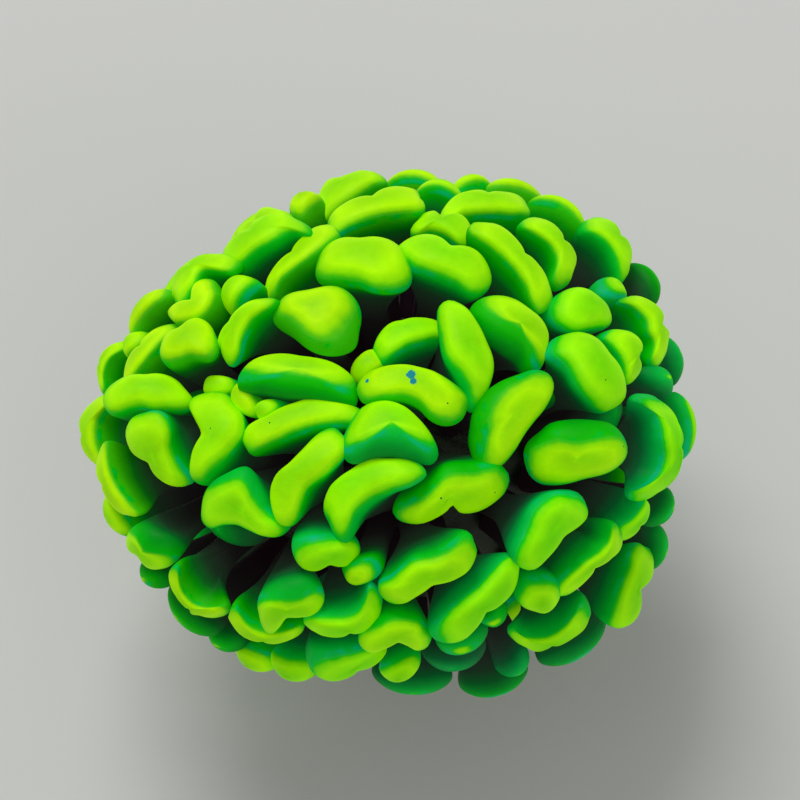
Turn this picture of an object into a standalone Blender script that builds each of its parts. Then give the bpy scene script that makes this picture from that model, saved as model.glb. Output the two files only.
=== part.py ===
"""A head of hammer coral, standing on the flat cut of its stony stalk.

A soft polyp wraps the top of the stalk. From its domed disc grow the tentacles, which flare to tips
shaped like hammers, anchors and beans. The large tentacles are pieces of their own, and the small
ones and those round the back are grown together with the polyp.

Metres, +Z up. The origin is the middle of the cut face. The tentacles are set out in the front view,
which looks down on the head and leans a little towards -Y.
"""

import math
from typing import NamedTuple

import bmesh
import bpy
import numpy as np
from mathutils.bvhtree import BVHTree

MM = 0.001
COLLECTION = "hammer_coral"

# The front view, as three directions: to its right, up in it, and towards the viewer.
VIEW_LEAN = math.radians(20.0)
RIGHT = np.array((1.0, 0.0, 0.0))
UP = np.array((0.0, math.cos(VIEW_LEAN), math.sin(VIEW_LEAN)))
TOWARDS = np.array((0.0, -math.sin(VIEW_LEAN), math.cos(VIEW_LEAN)))

# The head: the tips of the tentacles lie on this flattened ball.
HEAD_CENTRE = np.array((0.0, 0.0, 19.0)) * MM
HEAD_HALF = np.array((17.0, 14.9, 11.0)) * MM

# The point that the tips face away from, and the dome of the disc that the tentacles grow on.
SPREAD_CENTRE = np.array((2.3, 0.4, 14.5)) * MM
DISC_CENTRE = np.array((0.9, 0.2, 14.5)) * MM
DISC_HALF = np.array((9.5, 8.5, 6.0)) * MM

# The form of one tentacle: half sizes of its neck, and how far below the tip it flares each way.
NECK_HALF_LONG = 0.85 * MM
NECK_HALF_WIDE = 0.62 * MM
FLARE_LONG = 4.2 * MM
FLARE_WIDE = 2.4 * MM
# Where its stalk bends, as a share of the way from the tip to the disc.
ELBOW_SHARE = 0.5
# Its sections are ovals with fuller corners, and its crown is a pillow this high for its width.
SECTION_POWER = 2.5
CROWN_RISE = 0.46
CROWN_POWER = 2.6
# A tip's width is this many times its area over its length.
WIDTH_OF_AREA = 1.15
# The widest ring slopes no more than this, and keeps this share of the outline, squared, where the
# crown hides it.
STEEPEST_RING = 1.5
LEAST_DRAWN = 0.3
# Points on the curve between two points of an outline, and places along a tip's middle line.
CURVE_STEPS = 8
MIDDLE_PLACES = 60
# A tip that faces away from the viewer is longer than it looks, up to this slope and facing.
STEEPEST_SLANT = 0.7
FACING_LIMIT = 0.35

# Loft levels: -1 is the root, 0 the widest ring of the tip, and 1 the middle of its crown.
LARGE_LEVELS = (-1.0, -0.45, -0.17, 0.0, 0.45)
SMALL_LEVELS = (-1.0, -0.3, 0.0, 0.5)
LARGE_SIDES = 9
SMALL_SIDES = 6

# Neighbours keep this gap. A fused tentacle starts this far inside the polyp.
GAP = 0.3 * MM
ROOT_SINK = 0.9 * MM

# A cut leaves at least this share of a body, and a join adds no more than the joined body's
# volume, to this share: a result outside these limits is a solver's slip.
LEAST_LEFT = 0.3
VOLUME_SLACK = 1e-4

# The stony stalk: height, half sizes at the cut and at the rim, ribs and how far they stand out.
SKELETON_HEIGHT = 11.0 * MM
SKELETON_FOOT = np.array((7.4, 6.6)) * MM
SKELETON_RIM = np.array((8.4, 7.6)) * MM
SKELETON_LEVELS = (0.0, 0.25, 0.5, 0.75, 1.0)
SKELETON_RIBS = 24
RIB_DEPTH = 0.35 * MM
SKELETON_TOP_MIDDLE = np.array((0.9, 0.2)) * MM

# The polyp from its hem up to the crown of the disc: height, half size in X and in Y.
POLYP_PROFILE = (
    (6.3, 8.9, 8.1),
    (7.6, 9.5, 8.7),
    (10.0, 9.9, 8.9),
    (13.0, 9.7, 8.7),
    (16.0, 9.1, 8.1),
    (18.3, 7.2, 6.4),
    (19.8, 4.3, 3.8),
)
POLYP_TOP = 20.4
POLYP_SIDES = 20
# The share of its faces that it keeps, once points this near each other are one. The distances
# are tried in turn until one leaves the mesh closed.
POLYP_FACE_SHARE = 0.42
WELD_DISTANCES = (0.001 * MM, 0.002 * MM, 0.005 * MM, 0.008 * MM, 0.01 * MM, 0.02 * MM)

# Colour and roughness of each material.
TENTACLE_LOOK = (0.30, 0.72, 0.02), 0.35
POLYP_LOOK = (0.05, 0.10, 0.04), 0.45
SKELETON_LOOK = (0.62, 0.58, 0.50), 0.8


class Tentacle(NamedTuple):
    """One tentacle as the front view shows it; lengths in millimetres, angles in degrees.

    right, up: the middle of its tip. turn: the tip's long axis, anticlockwise from the right.
    length, width: the tip's size. stalk: the way that its stalk runs from the tip, measured like
    turn, and tilt: how far the tip faces away from the viewer; both are those of a spreading head
    where they are left out. outline: points that the tip's outline runs through. droop: how far
    the ends hang back. drop: how far the tip lies below the surface of the head.
    """

    name: str
    right: float
    up: float
    turn: float
    length: float
    width: float
    stalk: float | None = None
    tilt: float | None = None
    outline: tuple = ()
    droop: float = 0.5
    drop: float = 0.0


def closed_curve(points, steps):
    """A smooth closed curve through points (Catmull-Rom), with this many steps between two."""
    p0, p1, p2, p3 = (np.roll(points, 1 - k, axis=0)[:, None, :] for k in range(4))
    t = (np.arange(steps) / steps)[None, :, None]
    curve = 0.5 * (
        2 * p1 + (p2 - p0) * t + (2 * p0 - 5 * p1 + 4 * p2 - p3) * t**2 + (3 * p1 - p0 - 3 * p2 + p3) * t**3
    )
    return curve.reshape(-1, 2)


def signed_area(curve):
    """The area inside a closed curve, negative where it runs clockwise."""
    after = np.roll(curve, -1, axis=0)
    return 0.5 * np.sum(curve[:, 0] * after[:, 1] - after[:, 0] * curve[:, 1])


def outline_curve(points):
    """The smooth outline through points, anticlockwise."""
    curve = closed_curve(np.array(points), CURVE_STEPS)
    return curve if signed_area(curve) > 0 else curve[::-1]


def middle_line(x, y):
    """Half way between an outline's upper and lower edge, at places along x."""
    begin, count = np.argmax(x), (np.argmin(x) - np.argmax(x)) % len(x)
    x, y = np.roll(x, -begin), np.roll(y, -begin)
    upper_x, upper_y = x[: count + 1][::-1], y[: count + 1][::-1]
    lower_x, lower_y = np.append(x[count:], x[0]), np.append(y[count:], y[0])
    places = np.linspace(x.min(), x.max(), MIDDLE_PLACES)
    upper = np.interp(places, np.maximum.accumulate(upper_x), upper_y)
    lower = np.interp(places, np.maximum.accumulate(lower_x), lower_y)
    return places, (upper + lower) / 2


def outlined(name, turn, stalk, tilt, outline, droop=0.5, drop=0.0):
    """A tentacle whose middle, length and width are measured on its outline."""
    angle = math.radians(turn)
    along = np.array((math.cos(angle), math.sin(angle)))
    across = np.array((-math.sin(angle), math.cos(angle)))
    curve = outline_curve(outline)
    x, y = curve @ along, curve @ across
    places, middles = middle_line(x, y)
    halfway = (x.min() + x.max()) / 2
    right, up = halfway * along + np.interp(halfway, places, middles) * across
    length = np.ptp(x)
    width = WIDTH_OF_AREA * signed_area(curve) / length
    return Tentacle(name, right, up, turn, length, width, stalk, tilt, outline, droop, drop)


LARGE_TENTACLES = (
    outlined("tentacle_01", 38, -50, 50, (
        (-9.5, 10.0), (-9.0, 10.6), (-8.2, 11.1), (-7.4, 11.8), (-6.5, 12.15), (-5.5, 12.2), (-4.7, 11.8),
        (-4.6, 11.2), (-5.5, 11.2), (-6.3, 10.6), (-7.3, 10.0), (-8.3, 9.3), (-9.2, 9.2))),
    outlined("tentacle_02", 40, -50, 55, (
        (-8.95, 10.9), (-8.5, 11.4), (-7.6, 12.0), (-7.0, 12.65), (-6.3, 12.75), (-5.6, 12.5), (-5.5, 11.9),
        (-6.6, 11.3), (-7.8, 10.7), (-8.6, 10.4)), drop=1.8),
    outlined("tentacle_03", 42, -42, 55, (
        (-12.35, 7.6), (-12.05, 8.7), (-11.3, 9.4), (-10.3, 9.8), (-9.3, 10.2), (-8.6, 9.9), (-9.0, 9.1),
        (-10.2, 8.95), (-10.8, 8.0), (-11.7, 7.1)), droop=0.7, drop=0.3),
    outlined("tentacle_04", 40, -45, 50, (
        (-12.45, 6.7), (-12.0, 6.25), (-11.2, 6.15), (-10.2, 6.6), (-9.6, 7.6), (-9.65, 8.4), (-10.2, 8.6),
        (-10.75, 8.3), (-11.0, 7.5), (-11.9, 7.15)), droop=0.1, drop=0.6),
    outlined("tentacle_07", 25, -60, 38, (
        (-12.8, 4.5), (-12.3, 5.4), (-11.3, 6.0), (-10.6, 6.4), (-10.0, 6.2), (-9.65, 5.5), (-9.6, 4.6),
        (-10.0, 4.1), (-10.9, 4.15), (-11.6, 3.9), (-12.4, 3.95)), droop=0.2),
    outlined("tentacle_08", 47, -40, 62, (
        (-15.1, 3.1), (-14.6, 4.1), (-13.8, 5.0), (-13.0, 5.9), (-12.3, 6.3), (-12.0, 6.0), (-12.6, 5.2),
        (-13.3, 4.3), (-14.1, 3.5), (-14.7, 2.9)), drop=0.9),
    outlined("tentacle_10", 66, -12, 68, (
        (-16.5, 2.2), (-16.45, 3.5), (-16.1, 4.5), (-15.5, 5.2), (-14.9, 5.25), (-15.1, 4.8), (-15.7, 4.1),
        (-16.0, 3.2), (-16.1, 2.3)), droop=0.8, drop=1.4),
    outlined("tentacle_11", -3, -80, 35, (
        (-15.95, 2.0), (-15.4, 2.9), (-14.0, 3.2), (-12.6, 3.15), (-11.5, 2.75), (-10.85, 2.0), (-11.4, 1.45),
        (-12.9, 1.3), (-13.9, 1.5), (-15.3, 1.25))),
    outlined("tentacle_12", 93, 0, 68, (
        (-16.35, -2.4), (-17.1, -1.4), (-17.4, 0.3), (-17.3, 1.4), (-16.8, 2.1), (-16.0, 2.15), (-16.0, 1.6),
        (-16.55, 0.7), (-16.5, -0.9), (-16.15, -2.1)), droop=0.8, drop=1.0),
    outlined("tentacle_13", -50, 40, 40, (
        (-14.75, -0.1), (-14.4, 0.6), (-13.6, 0.95), (-12.6, 0.85), (-12.1, 0.2), (-12.0, -0.8), (-11.5, -1.9),
        (-11.1, -2.8), (-11.7, -3.2), (-12.6, -2.6), (-13.4, -1.6), (-14.3, -0.95))),
    outlined("tentacle_14", -66, 12, 64, (
        (-16.3, -0.8), (-16.45, -1.7), (-16.1, -2.8), (-15.6, -3.8), (-15.0, -4.65), (-14.3, -4.75),
        (-14.6, -4.1), (-15.1, -3.1), (-15.5, -2.1), (-15.8, -1.1), (-16.0, -0.6)), drop=0.4),
    outlined("tentacle_16", 74, -30, 35, (
        (-11.1, 1.6), (-10.8, 2.1), (-9.7, 2.3), (-8.7, 1.9), (-8.1, 1.0), (-8.1, -0.1), (-8.8, -1.1),
        (-9.6, -2.1), (-10.3, -2.9), (-10.85, -2.5), (-10.75, -1.4), (-10.35, -0.1), (-10.7, 0.8)),
        droop=0.2, drop=0.4),
    outlined("tentacle_17", -25, 50, 32, (
        (-10.35, -4.2), (-10.2, -3.4), (-9.6, -2.6), (-8.7, -2.1), (-7.9, -1.95), (-7.4, -2.4), (-7.0, -3.2),
        (-6.5, -4.1), (-5.8, -4.8), (-5.4, -5.2), (-5.9, -5.7), (-6.7, -5.65), (-7.6, -5.35), (-8.4, -5.1),
        (-9.1, -5.1), (-9.8, -5.3), (-10.3, -4.9)), droop=0.2, drop=0.5),
    outlined("tentacle_18", -30, 40, 50, (
        (-14.85, -6.2), (-14.6, -5.5), (-14.0, -5.25), (-13.2, -5.3), (-12.4, -5.8), (-12.0, -6.4),
        (-11.9, -7.1), (-12.3, -7.55), (-13.0, -7.65), (-13.6, -7.3), (-14.1, -6.9), (-14.6, -6.65)),
        drop=0.4),
    outlined("tentacle_20", -38, 66, 66, (
        (-12.35, -8.0), (-11.9, -7.9), (-11.6, -8.7), (-10.9, -9.4), (-10.0, -9.7), (-9.1, -9.65),
        (-8.85, -10.0), (-9.2, -10.4), (-10.0, -10.45), (-10.9, -10.0), (-11.7, -9.2), (-12.2, -8.5)),
        drop=0.8),
    outlined("tentacle_22", -14, 82, 66, (
        (-8.9, -10.3), (-8.5, -10.2), (-7.9, -10.7), (-7.1, -11.0), (-6.0, -11.1), (-5.0, -10.9), (-4.7, -11.1),
        (-5.0, -11.55), (-5.9, -11.7), (-7.0, -11.6), (-8.2, -11.3), (-8.8, -10.8)), drop=1.2),
    outlined("tentacle_23", 26, 88, 42, (
        (-7.2, -10.0), (-7.1, -9.2), (-6.4, -8.4), (-5.4, -8.1), (-4.4, -8.2), (-3.65, -8.7), (-3.5, -9.3),
        (-3.9, -9.85), (-4.8, -10.05), (-5.6, -10.3), (-6.0, -10.8), (-6.4, -11.25), (-6.9, -11.05)),
        droop=0.2),
    outlined("tentacle_27", 16, 120, 58, (
        (-4.25, -13.1), (-4.0, -12.4), (-3.2, -12.1), (-2.3, -11.9), (-1.3, -11.8), (-0.3, -11.9),
        (0.15, -12.3), (-0.3, -12.8), (-1.3, -13.2), (-2.4, -13.6), (-3.4, -13.85), (-4.1, -13.6)),
        drop=1.8),
    outlined("tentacle_28", 22, 105, 56, (
        (-4.5, -11.0), (-4.1, -10.5), (-3.4, -10.3), (-2.4, -10.15), (-1.6, -9.8), (-1.1, -9.3), (-0.8, -8.85),
        (-0.35, -9.2), (-0.25, -9.9), (-0.6, -10.5), (-1.5, -10.95), (-2.7, -11.25), (-3.8, -11.4)),
        droop=0.8, drop=0.9),
    outlined("tentacle_29", -4, 98, 44, (
        (-1.6, -11.6), (-1.3, -11.0), (-0.5, -10.4), (0.3, -10.0), (1.2, -10.1), (2.0, -10.6), (2.4, -11.4),
        (2.3, -12.0), (1.7, -12.15), (1.2, -11.8), (0.5, -11.65), (-0.3, -11.9), (-0.9, -12.2),
        (-1.4, -12.05)), droop=0.2, drop=1.0),
    outlined("tentacle_32", -3, 105, 36, (
        (-5.25, -6.7), (-5.0, -6.1), (-4.2, -5.75), (-3.2, -5.7), (-2.3, -5.85), (-1.6, -6.2), (-1.45, -6.7),
        (-1.8, -7.25), (-2.5, -7.4), (-3.3, -7.3), (-4.1, -7.55), (-4.8, -7.4)), drop=0.5),
    outlined("tentacle_34", 28, 108, 36, (
        (-0.4, -9.2), (-0.3, -8.6), (0.4, -8.1), (0.9, -7.4), (1.5, -6.9), (2.5, -6.7), (3.4, -6.3),
        (4.1, -5.9), (4.75, -6.0), (4.95, -6.7), (4.5, -7.5), (3.6, -8.0), (2.6, -8.35), (1.9, -8.8),
        (1.0, -9.4), (0.2, -9.65)), drop=0.2),
    outlined("tentacle_35", 43, 130, 48, (
        (2.55, -11.5), (2.9, -10.8), (3.5, -10.0), (4.2, -9.3), (5.1, -8.6), (6.0, -7.8), (6.7, -7.2),
        (7.3, -7.1), (7.45, -7.8), (7.0, -8.7), (6.2, -9.4), (5.3, -10.1), (4.7, -10.9), (4.1, -11.6),
        (3.2, -11.9)), drop=0.6),
    outlined("tentacle_38", -15, 98, 38, (
        (6.95, -8.9), (7.3, -8.2), (7.8, -7.9), (8.6, -7.85), (9.3, -8.2), (9.65, -8.9), (9.45, -9.7),
        (8.9, -10.15), (8.2, -10.0), (7.4, -9.5)), droop=0.3, drop=1.1),
    outlined("tentacle_39", 52, 158, 42, (
        (7.15, -6.9), (7.35, -5.9), (7.6, -5.0), (7.9, -4.2), (8.5, -3.6), (9.4, -3.3), (10.3, -3.3),
        (10.9, -3.8), (11.15, -4.5), (10.8, -5.0), (10.0, -5.6), (9.3, -6.3), (8.6, -7.0), (8.0, -7.55),
        (7.4, -7.4)), droop=0.2),
    outlined("tentacle_40", 49, 140, 56, (
        (9.6, -9.3), (9.8, -8.5), (10.3, -7.8), (11.0, -7.1), (11.8, -6.6), (12.4, -6.1), (12.8, -5.3),
        (13.2, -5.6), (13.15, -6.3), (12.4, -7.0), (11.6, -7.5), (10.9, -8.3), (10.3, -9.1), (9.9, -9.45)),
        drop=0.8),
    outlined("tentacle_41", 50, 146, 62, (
        (12.9, -6.1), (13.0, -5.3), (13.5, -4.8), (14.2, -4.2), (14.7, -3.9), (14.95, -4.2), (14.5, -4.9),
        (13.9, -5.5), (13.3, -6.2)), drop=1.4),
    outlined("tentacle_42", 66, 162, 56, (
        (12.7, -10.9), (12.8, -10.0), (13.0, -9.2), (13.3, -8.4), (13.6, -7.7), (13.8, -6.9), (14.2, -6.4),
        (14.7, -6.5), (15.05, -7.1), (15.0, -7.9), (14.5, -8.7), (14.2, -9.4), (14.15, -10.3), (13.8, -10.95),
        (13.2, -11.15)), droop=0.2, drop=1.4),
    outlined("tentacle_45", 17, 98, 62, (
        (6.65, -11.5), (6.9, -11.1), (7.4, -11.4), (8.2, -11.5), (9.0, -11.3), (9.8, -10.9), (10.4, -10.4),
        (10.9, -9.9), (11.35, -10.3), (11.2, -11.0), (10.4, -11.5), (9.4, -11.95), (8.3, -12.2),
        (7.3, -12.05)), droop=0.6, drop=2.0),
    outlined("tentacle_49", 90, 180, 70, (
        (14.4, 1.9), (15.0, 2.3), (15.7, 2.0), (16.15, 1.2), (16.4, 0.0), (16.4, -1.3), (16.2, -2.6),
        (15.6, -3.7), (14.7, -3.85), (14.2, -3.4), (14.9, -3.1), (15.5, -2.4), (15.55, -1.5), (15.3, -0.3),
        (15.2, 0.9), (14.9, 1.6)), droop=1.2),
    outlined("tentacle_53", -62, 200, 58, (
        (13.6, 7.6), (14.1, 7.85), (14.8, 7.5), (15.4, 6.9), (15.5, 6.3), (15.75, 5.7), (16.0, 4.9),
        (15.9, 4.1), (15.4, 3.75), (14.95, 4.1), (15.0, 4.9), (14.65, 5.6), (14.5, 6.4), (14.1, 7.1)),
        droop=0.8, drop=0.5),
    outlined("tentacle_55", -64, 190, 50, (
        (12.4, 5.4), (12.9, 5.8), (13.5, 5.75), (14.1, 5.1), (14.15, 4.5), (13.95, 4.05), (14.25, 3.5),
        (13.95, 2.85), (13.4, 2.8), (13.15, 3.5), (12.9, 4.2), (12.6, 4.8)), drop=0.6),
    outlined("tentacle_57", -52, 222, 58, (
        (11.15, 11.6), (11.5, 12.3), (12.2, 12.45), (12.8, 11.9), (13.4, 11.1), (13.9, 10.2), (13.95, 9.3),
        (13.5, 8.9), (13.1, 9.4), (12.5, 10.3), (11.8, 11.0)), droop=0.6, drop=0.5),
    outlined("tentacle_59", -47, 220, 42, (
        (8.9, 4.4), (9.0, 5.0), (9.6, 5.5), (10.4, 5.65), (11.2, 5.4), (12.0, 4.8), (12.7, 3.9), (13.2, 2.9),
        (13.35, 2.1), (12.9, 1.45), (12.1, 1.4), (11.2, 1.9), (10.4, 2.6), (9.9, 3.4), (9.3, 4.0))),
    outlined("tentacle_60", -14, 215, 42, (
        (9.1, 6.9), (9.4, 7.6), (10.1, 8.0), (10.9, 8.0), (11.8, 7.6), (12.5, 7.0), (12.7, 6.3), (12.2, 5.9),
        (11.4, 5.75), (10.4, 5.6), (9.5, 6.1)), droop=0.4, drop=0.8),
    outlined("tentacle_61", -62, 215, 48, (
        (7.5, 11.7), (8.1, 12.3), (8.8, 12.05), (9.6, 11.3), (10.3, 10.3), (10.6, 9.4), (10.4, 8.6),
        (9.8, 8.2), (9.3, 8.6), (9.35, 9.6), (9.0, 10.4), (8.3, 11.0)), drop=0.8),
    outlined("tentacle_62", -48, 225, 45, (
        (4.8, 11.4), (5.1, 11.9), (5.9, 11.85), (6.7, 11.2), (7.6, 10.1), (8.5, 9.1), (9.2, 8.1), (9.3, 7.2),
        (8.7, 6.8), (8.15, 7.3), (7.6, 8.4), (6.8, 9.4), (5.8, 10.5)), drop=0.1),
    outlined("tentacle_63", -24, 255, 42, (
        (0.7, 10.3), (1.1, 11.0), (1.9, 11.15), (2.8, 10.85), (3.7, 10.35), (4.8, 10.1), (5.6, 9.5),
        (5.85, 8.8), (5.4, 8.1), (4.6, 7.85), (3.7, 8.3), (2.4, 8.75), (1.2, 9.3))),
    outlined("tentacle_64", -4, 282, 40, (
        (-4.15, 9.5), (-3.9, 10.2), (-3.0, 10.7), (-1.9, 10.85), (-0.7, 10.75), (0.4, 10.5), (1.1, 9.9),
        (1.3, 9.2), (1.0, 8.4), (0.2, 7.9), (-0.8, 7.85), (-1.8, 8.2), (-3.2, 8.4), (-3.9, 8.8))),
    outlined("tentacle_65", -10, 290, 32, (
        (-6.5, 6.6), (-6.0, 7.5), (-5.0, 7.85), (-3.7, 8.0), (-2.6, 7.95), (-1.9, 7.4), (-1.55, 6.5),
        (-1.65, 5.6), (-2.1, 4.9), (-2.9, 4.45), (-3.8, 4.4), (-4.6, 4.75), (-5.4, 5.5), (-6.2, 6.1))),
    outlined("tentacle_66", 52, -12, 42, (
        (-9.55, 4.9), (-9.0, 6.0), (-8.1, 7.0), (-7.2, 7.5), (-6.6, 7.5), (-6.7, 7.0), (-7.5, 6.3),
        (-8.0, 5.2), (-8.3, 4.2), (-9.0, 3.75)), drop=0.4),
    outlined("tentacle_67", 48, -45, 50, (
        (-7.05, 8.0), (-6.6, 8.9), (-5.6, 9.9), (-4.8, 10.8), (-4.1, 11.6), (-3.4, 11.9), (-3.0, 11.3),
        (-3.5, 10.5), (-4.2, 9.7), (-5.2, 8.9), (-6.1, 8.2), (-6.6, 7.6)), drop=1.0),
    outlined("tentacle_68", 18, -85, 50, (
        (-3.5, 11.6), (-3.2, 12.3), (-2.3, 12.85), (-1.2, 13.2), (-0.2, 13.65), (0.8, 13.9), (1.6, 13.8),
        (2.05, 13.2), (1.6, 12.65), (0.4, 12.3), (-0.9, 11.9), (-2.2, 11.5), (-3.1, 11.2)), drop=0.6),
    outlined("tentacle_69", 32, -62, 60, (
        (-4.45, 12.6), (-4.1, 13.3), (-3.6, 14.1), (-2.8, 14.5), (-2.0, 14.6), (-1.3, 14.9), (-0.6, 14.85),
        (-0.2, 14.5), (-0.9, 14.0), (-1.8, 13.3), (-2.8, 12.7), (-3.9, 12.15)), drop=1.9),
    outlined("tentacle_73", -2, -98, 58, (
        (3.05, 12.5), (3.4, 13.15), (4.2, 13.5), (5.3, 13.6), (6.5, 13.5), (7.4, 13.5), (8.0, 13.1),
        (8.0, 12.6), (7.0, 12.4), (5.6, 12.4), (4.3, 12.4), (3.4, 12.1)), drop=0.9),
    outlined("tentacle_74", -14, -92, 48, (
        (1.35, 11.6), (1.65, 12.25), (2.2, 12.45), (2.8, 12.2), (3.4, 12.1), (4.2, 12.15), (4.7, 11.7),
        (4.65, 11.0), (4.1, 10.7), (3.4, 11.0), (2.4, 11.35), (1.7, 11.25)), drop=1.4),
    outlined("tentacle_77", 24, -80, 38, (
        (-0.9, 4.5), (-0.7, 5.2), (0.0, 5.9), (0.9, 6.25), (1.9, 6.35), (2.9, 6.35), (3.0, 5.6), (2.2, 5.2),
        (1.2, 4.8), (0.4, 4.3), (-0.2, 3.95), (-0.7, 4.0)), drop=1.8),
    outlined("tentacle_78", -78, 215, 24, (
        (2.9, 6.5), (3.1, 7.1), (3.7, 7.35), (4.4, 7.1), (4.9, 6.3), (5.4, 5.2), (5.8, 4.0), (5.8, 3.0),
        (5.5, 2.0), (5.0, 1.4), (4.5, 1.5), (4.2, 2.3), (3.7, 3.2), (3.1, 4.1), (2.9, 5.2))),
    outlined("tentacle_79", -45, 225, 32, (
        (4.7, 6.8), (5.0, 7.4), (5.7, 7.75), (6.6, 7.6), (7.6, 7.0), (8.5, 6.2), (9.0, 5.2), (8.9, 4.2),
        (8.4, 3.5), (7.7, 3.4), (7.2, 3.9), (6.4, 4.4), (5.5, 5.1), (4.95, 6.0)), droop=0.5, drop=0.3),
    outlined("tentacle_80", -7, -88, 33, (
        (-8.4, 2.8), (-8.2, 3.5), (-7.5, 4.0), (-6.4, 4.25), (-5.2, 4.3), (-4.0, 4.1), (-2.9, 3.85),
        (-2.1, 3.3), (-1.65, 2.6), (-1.75, 1.9), (-2.4, 1.8), (-3.4, 1.9), (-4.6, 2.0), (-5.8, 2.05),
        (-7.0, 2.3), (-7.9, 2.5)), drop=0.6),
    outlined("tentacle_81", -14, -100, 22, (
        (-1.75, 2.4), (-1.5, 3.0), (-0.8, 3.5), (0.2, 3.7), (1.4, 3.7), (2.5, 3.4), (3.6, 2.8), (4.4, 2.0),
        (4.4, 1.1), (3.8, 0.6), (3.0, 0.5), (2.3, 0.8), (1.7, 1.4), (0.9, 1.75), (-0.2, 1.75), (-1.3, 1.7)),
        drop=0.4),
    outlined("tentacle_82", 17, -70, 30, (
        (-8.1, -0.3), (-7.8, 0.4), (-7.0, 0.8), (-6.0, 1.3), (-5.0, 1.7), (-3.9, 1.85), (-2.8, 1.8),
        (-1.8, 1.5), (-1.2, 0.9), (-1.6, 0.5), (-2.8, 0.4), (-4.2, 0.1), (-5.6, -0.35), (-6.9, -0.8),
        (-7.7, -1.0)), drop=1.1),
    outlined("tentacle_83", -6, -90, 25, (
        (-2.45, -0.4), (-2.3, 0.5), (-1.7, 1.2), (-0.8, 1.6), (0.1, 1.7), (1.0, 1.4), (1.8, 0.7), (2.5, -0.1),
        (2.75, -0.9), (2.3, -1.5), (1.4, -1.45), (0.3, -1.3), (-0.8, -1.35), (-1.8, -1.6), (-2.35, -1.2))),
    outlined("tentacle_84", 54, -30, 30, (
        (-3.8, 0.0), (-3.1, 0.3), (-2.5, 0.0), (-2.35, -0.8), (-2.8, -1.6), (-3.6, -2.4), (-4.4, -3.0),
        (-4.8, -3.9), (-5.15, -4.7), (-5.7, -5.05), (-6.3, -4.7), (-6.55, -3.7), (-6.25, -2.6), (-5.5, -1.7),
        (-4.6, -0.9)), drop=0.5),
    outlined("tentacle_85", 40, -42, 32, (
        (1.9, -2.1), (1.4, -1.45), (0.4, -1.35), (-0.8, -1.5), (-2.0, -2.0), (-2.9, -2.8), (-3.45, -3.8),
        (-3.5, -4.9), (-3.0, -5.7), (-2.4, -5.85), (-1.95, -5.3), (-1.6, -4.5), (-0.9, -3.8), (0.1, -3.25),
        (1.2, -2.8)), drop=0.5),
    outlined("tentacle_86", 20, 115, 34, (
        (0.35, -4.5), (0.7, -3.95), (1.5, -3.4), (2.2, -2.7), (2.8, -2.0), (3.6, -1.7), (4.6, -1.75),
        (5.6, -1.7), (6.3, -1.8), (6.65, -2.4), (6.4, -3.2), (5.7, -3.85), (4.9, -4.3), (4.0, -4.4),
        (3.5, -4.0), (3.0, -4.4), (2.0, -4.9), (1.2, -5.05), (0.6, -4.9)), droop=0.2, drop=1.1),
    outlined("tentacle_87", 52, 160, 20, (
        (4.55, -0.9), (4.7, 0.2), (4.8, 1.1), (5.3, 2.1), (6.2, 2.8), (7.3, 3.2), (8.3, 3.5), (9.0, 3.2),
        (9.2, 2.5), (8.8, 1.5), (8.1, 0.6), (7.4, -0.3), (6.8, -1.2), (6.1, -1.9), (5.4, -2.1), (4.8, -1.7)),
        droop=0.3, drop=0.2),
    outlined("tentacle_88", 6, 98, 22, (
        (7.45, -1.6), (7.8, -0.8), (8.4, -0.1), (9.0, 0.5), (10.1, 0.7), (11.3, 0.6), (12.4, 0.35),
        (13.1, -0.2), (13.35, -0.9), (13.1, -1.6), (12.3, -2.15), (11.0, -2.5), (9.7, -2.8), (8.5, -2.85),
        (7.7, -2.4)), droop=0.3),
)

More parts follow.
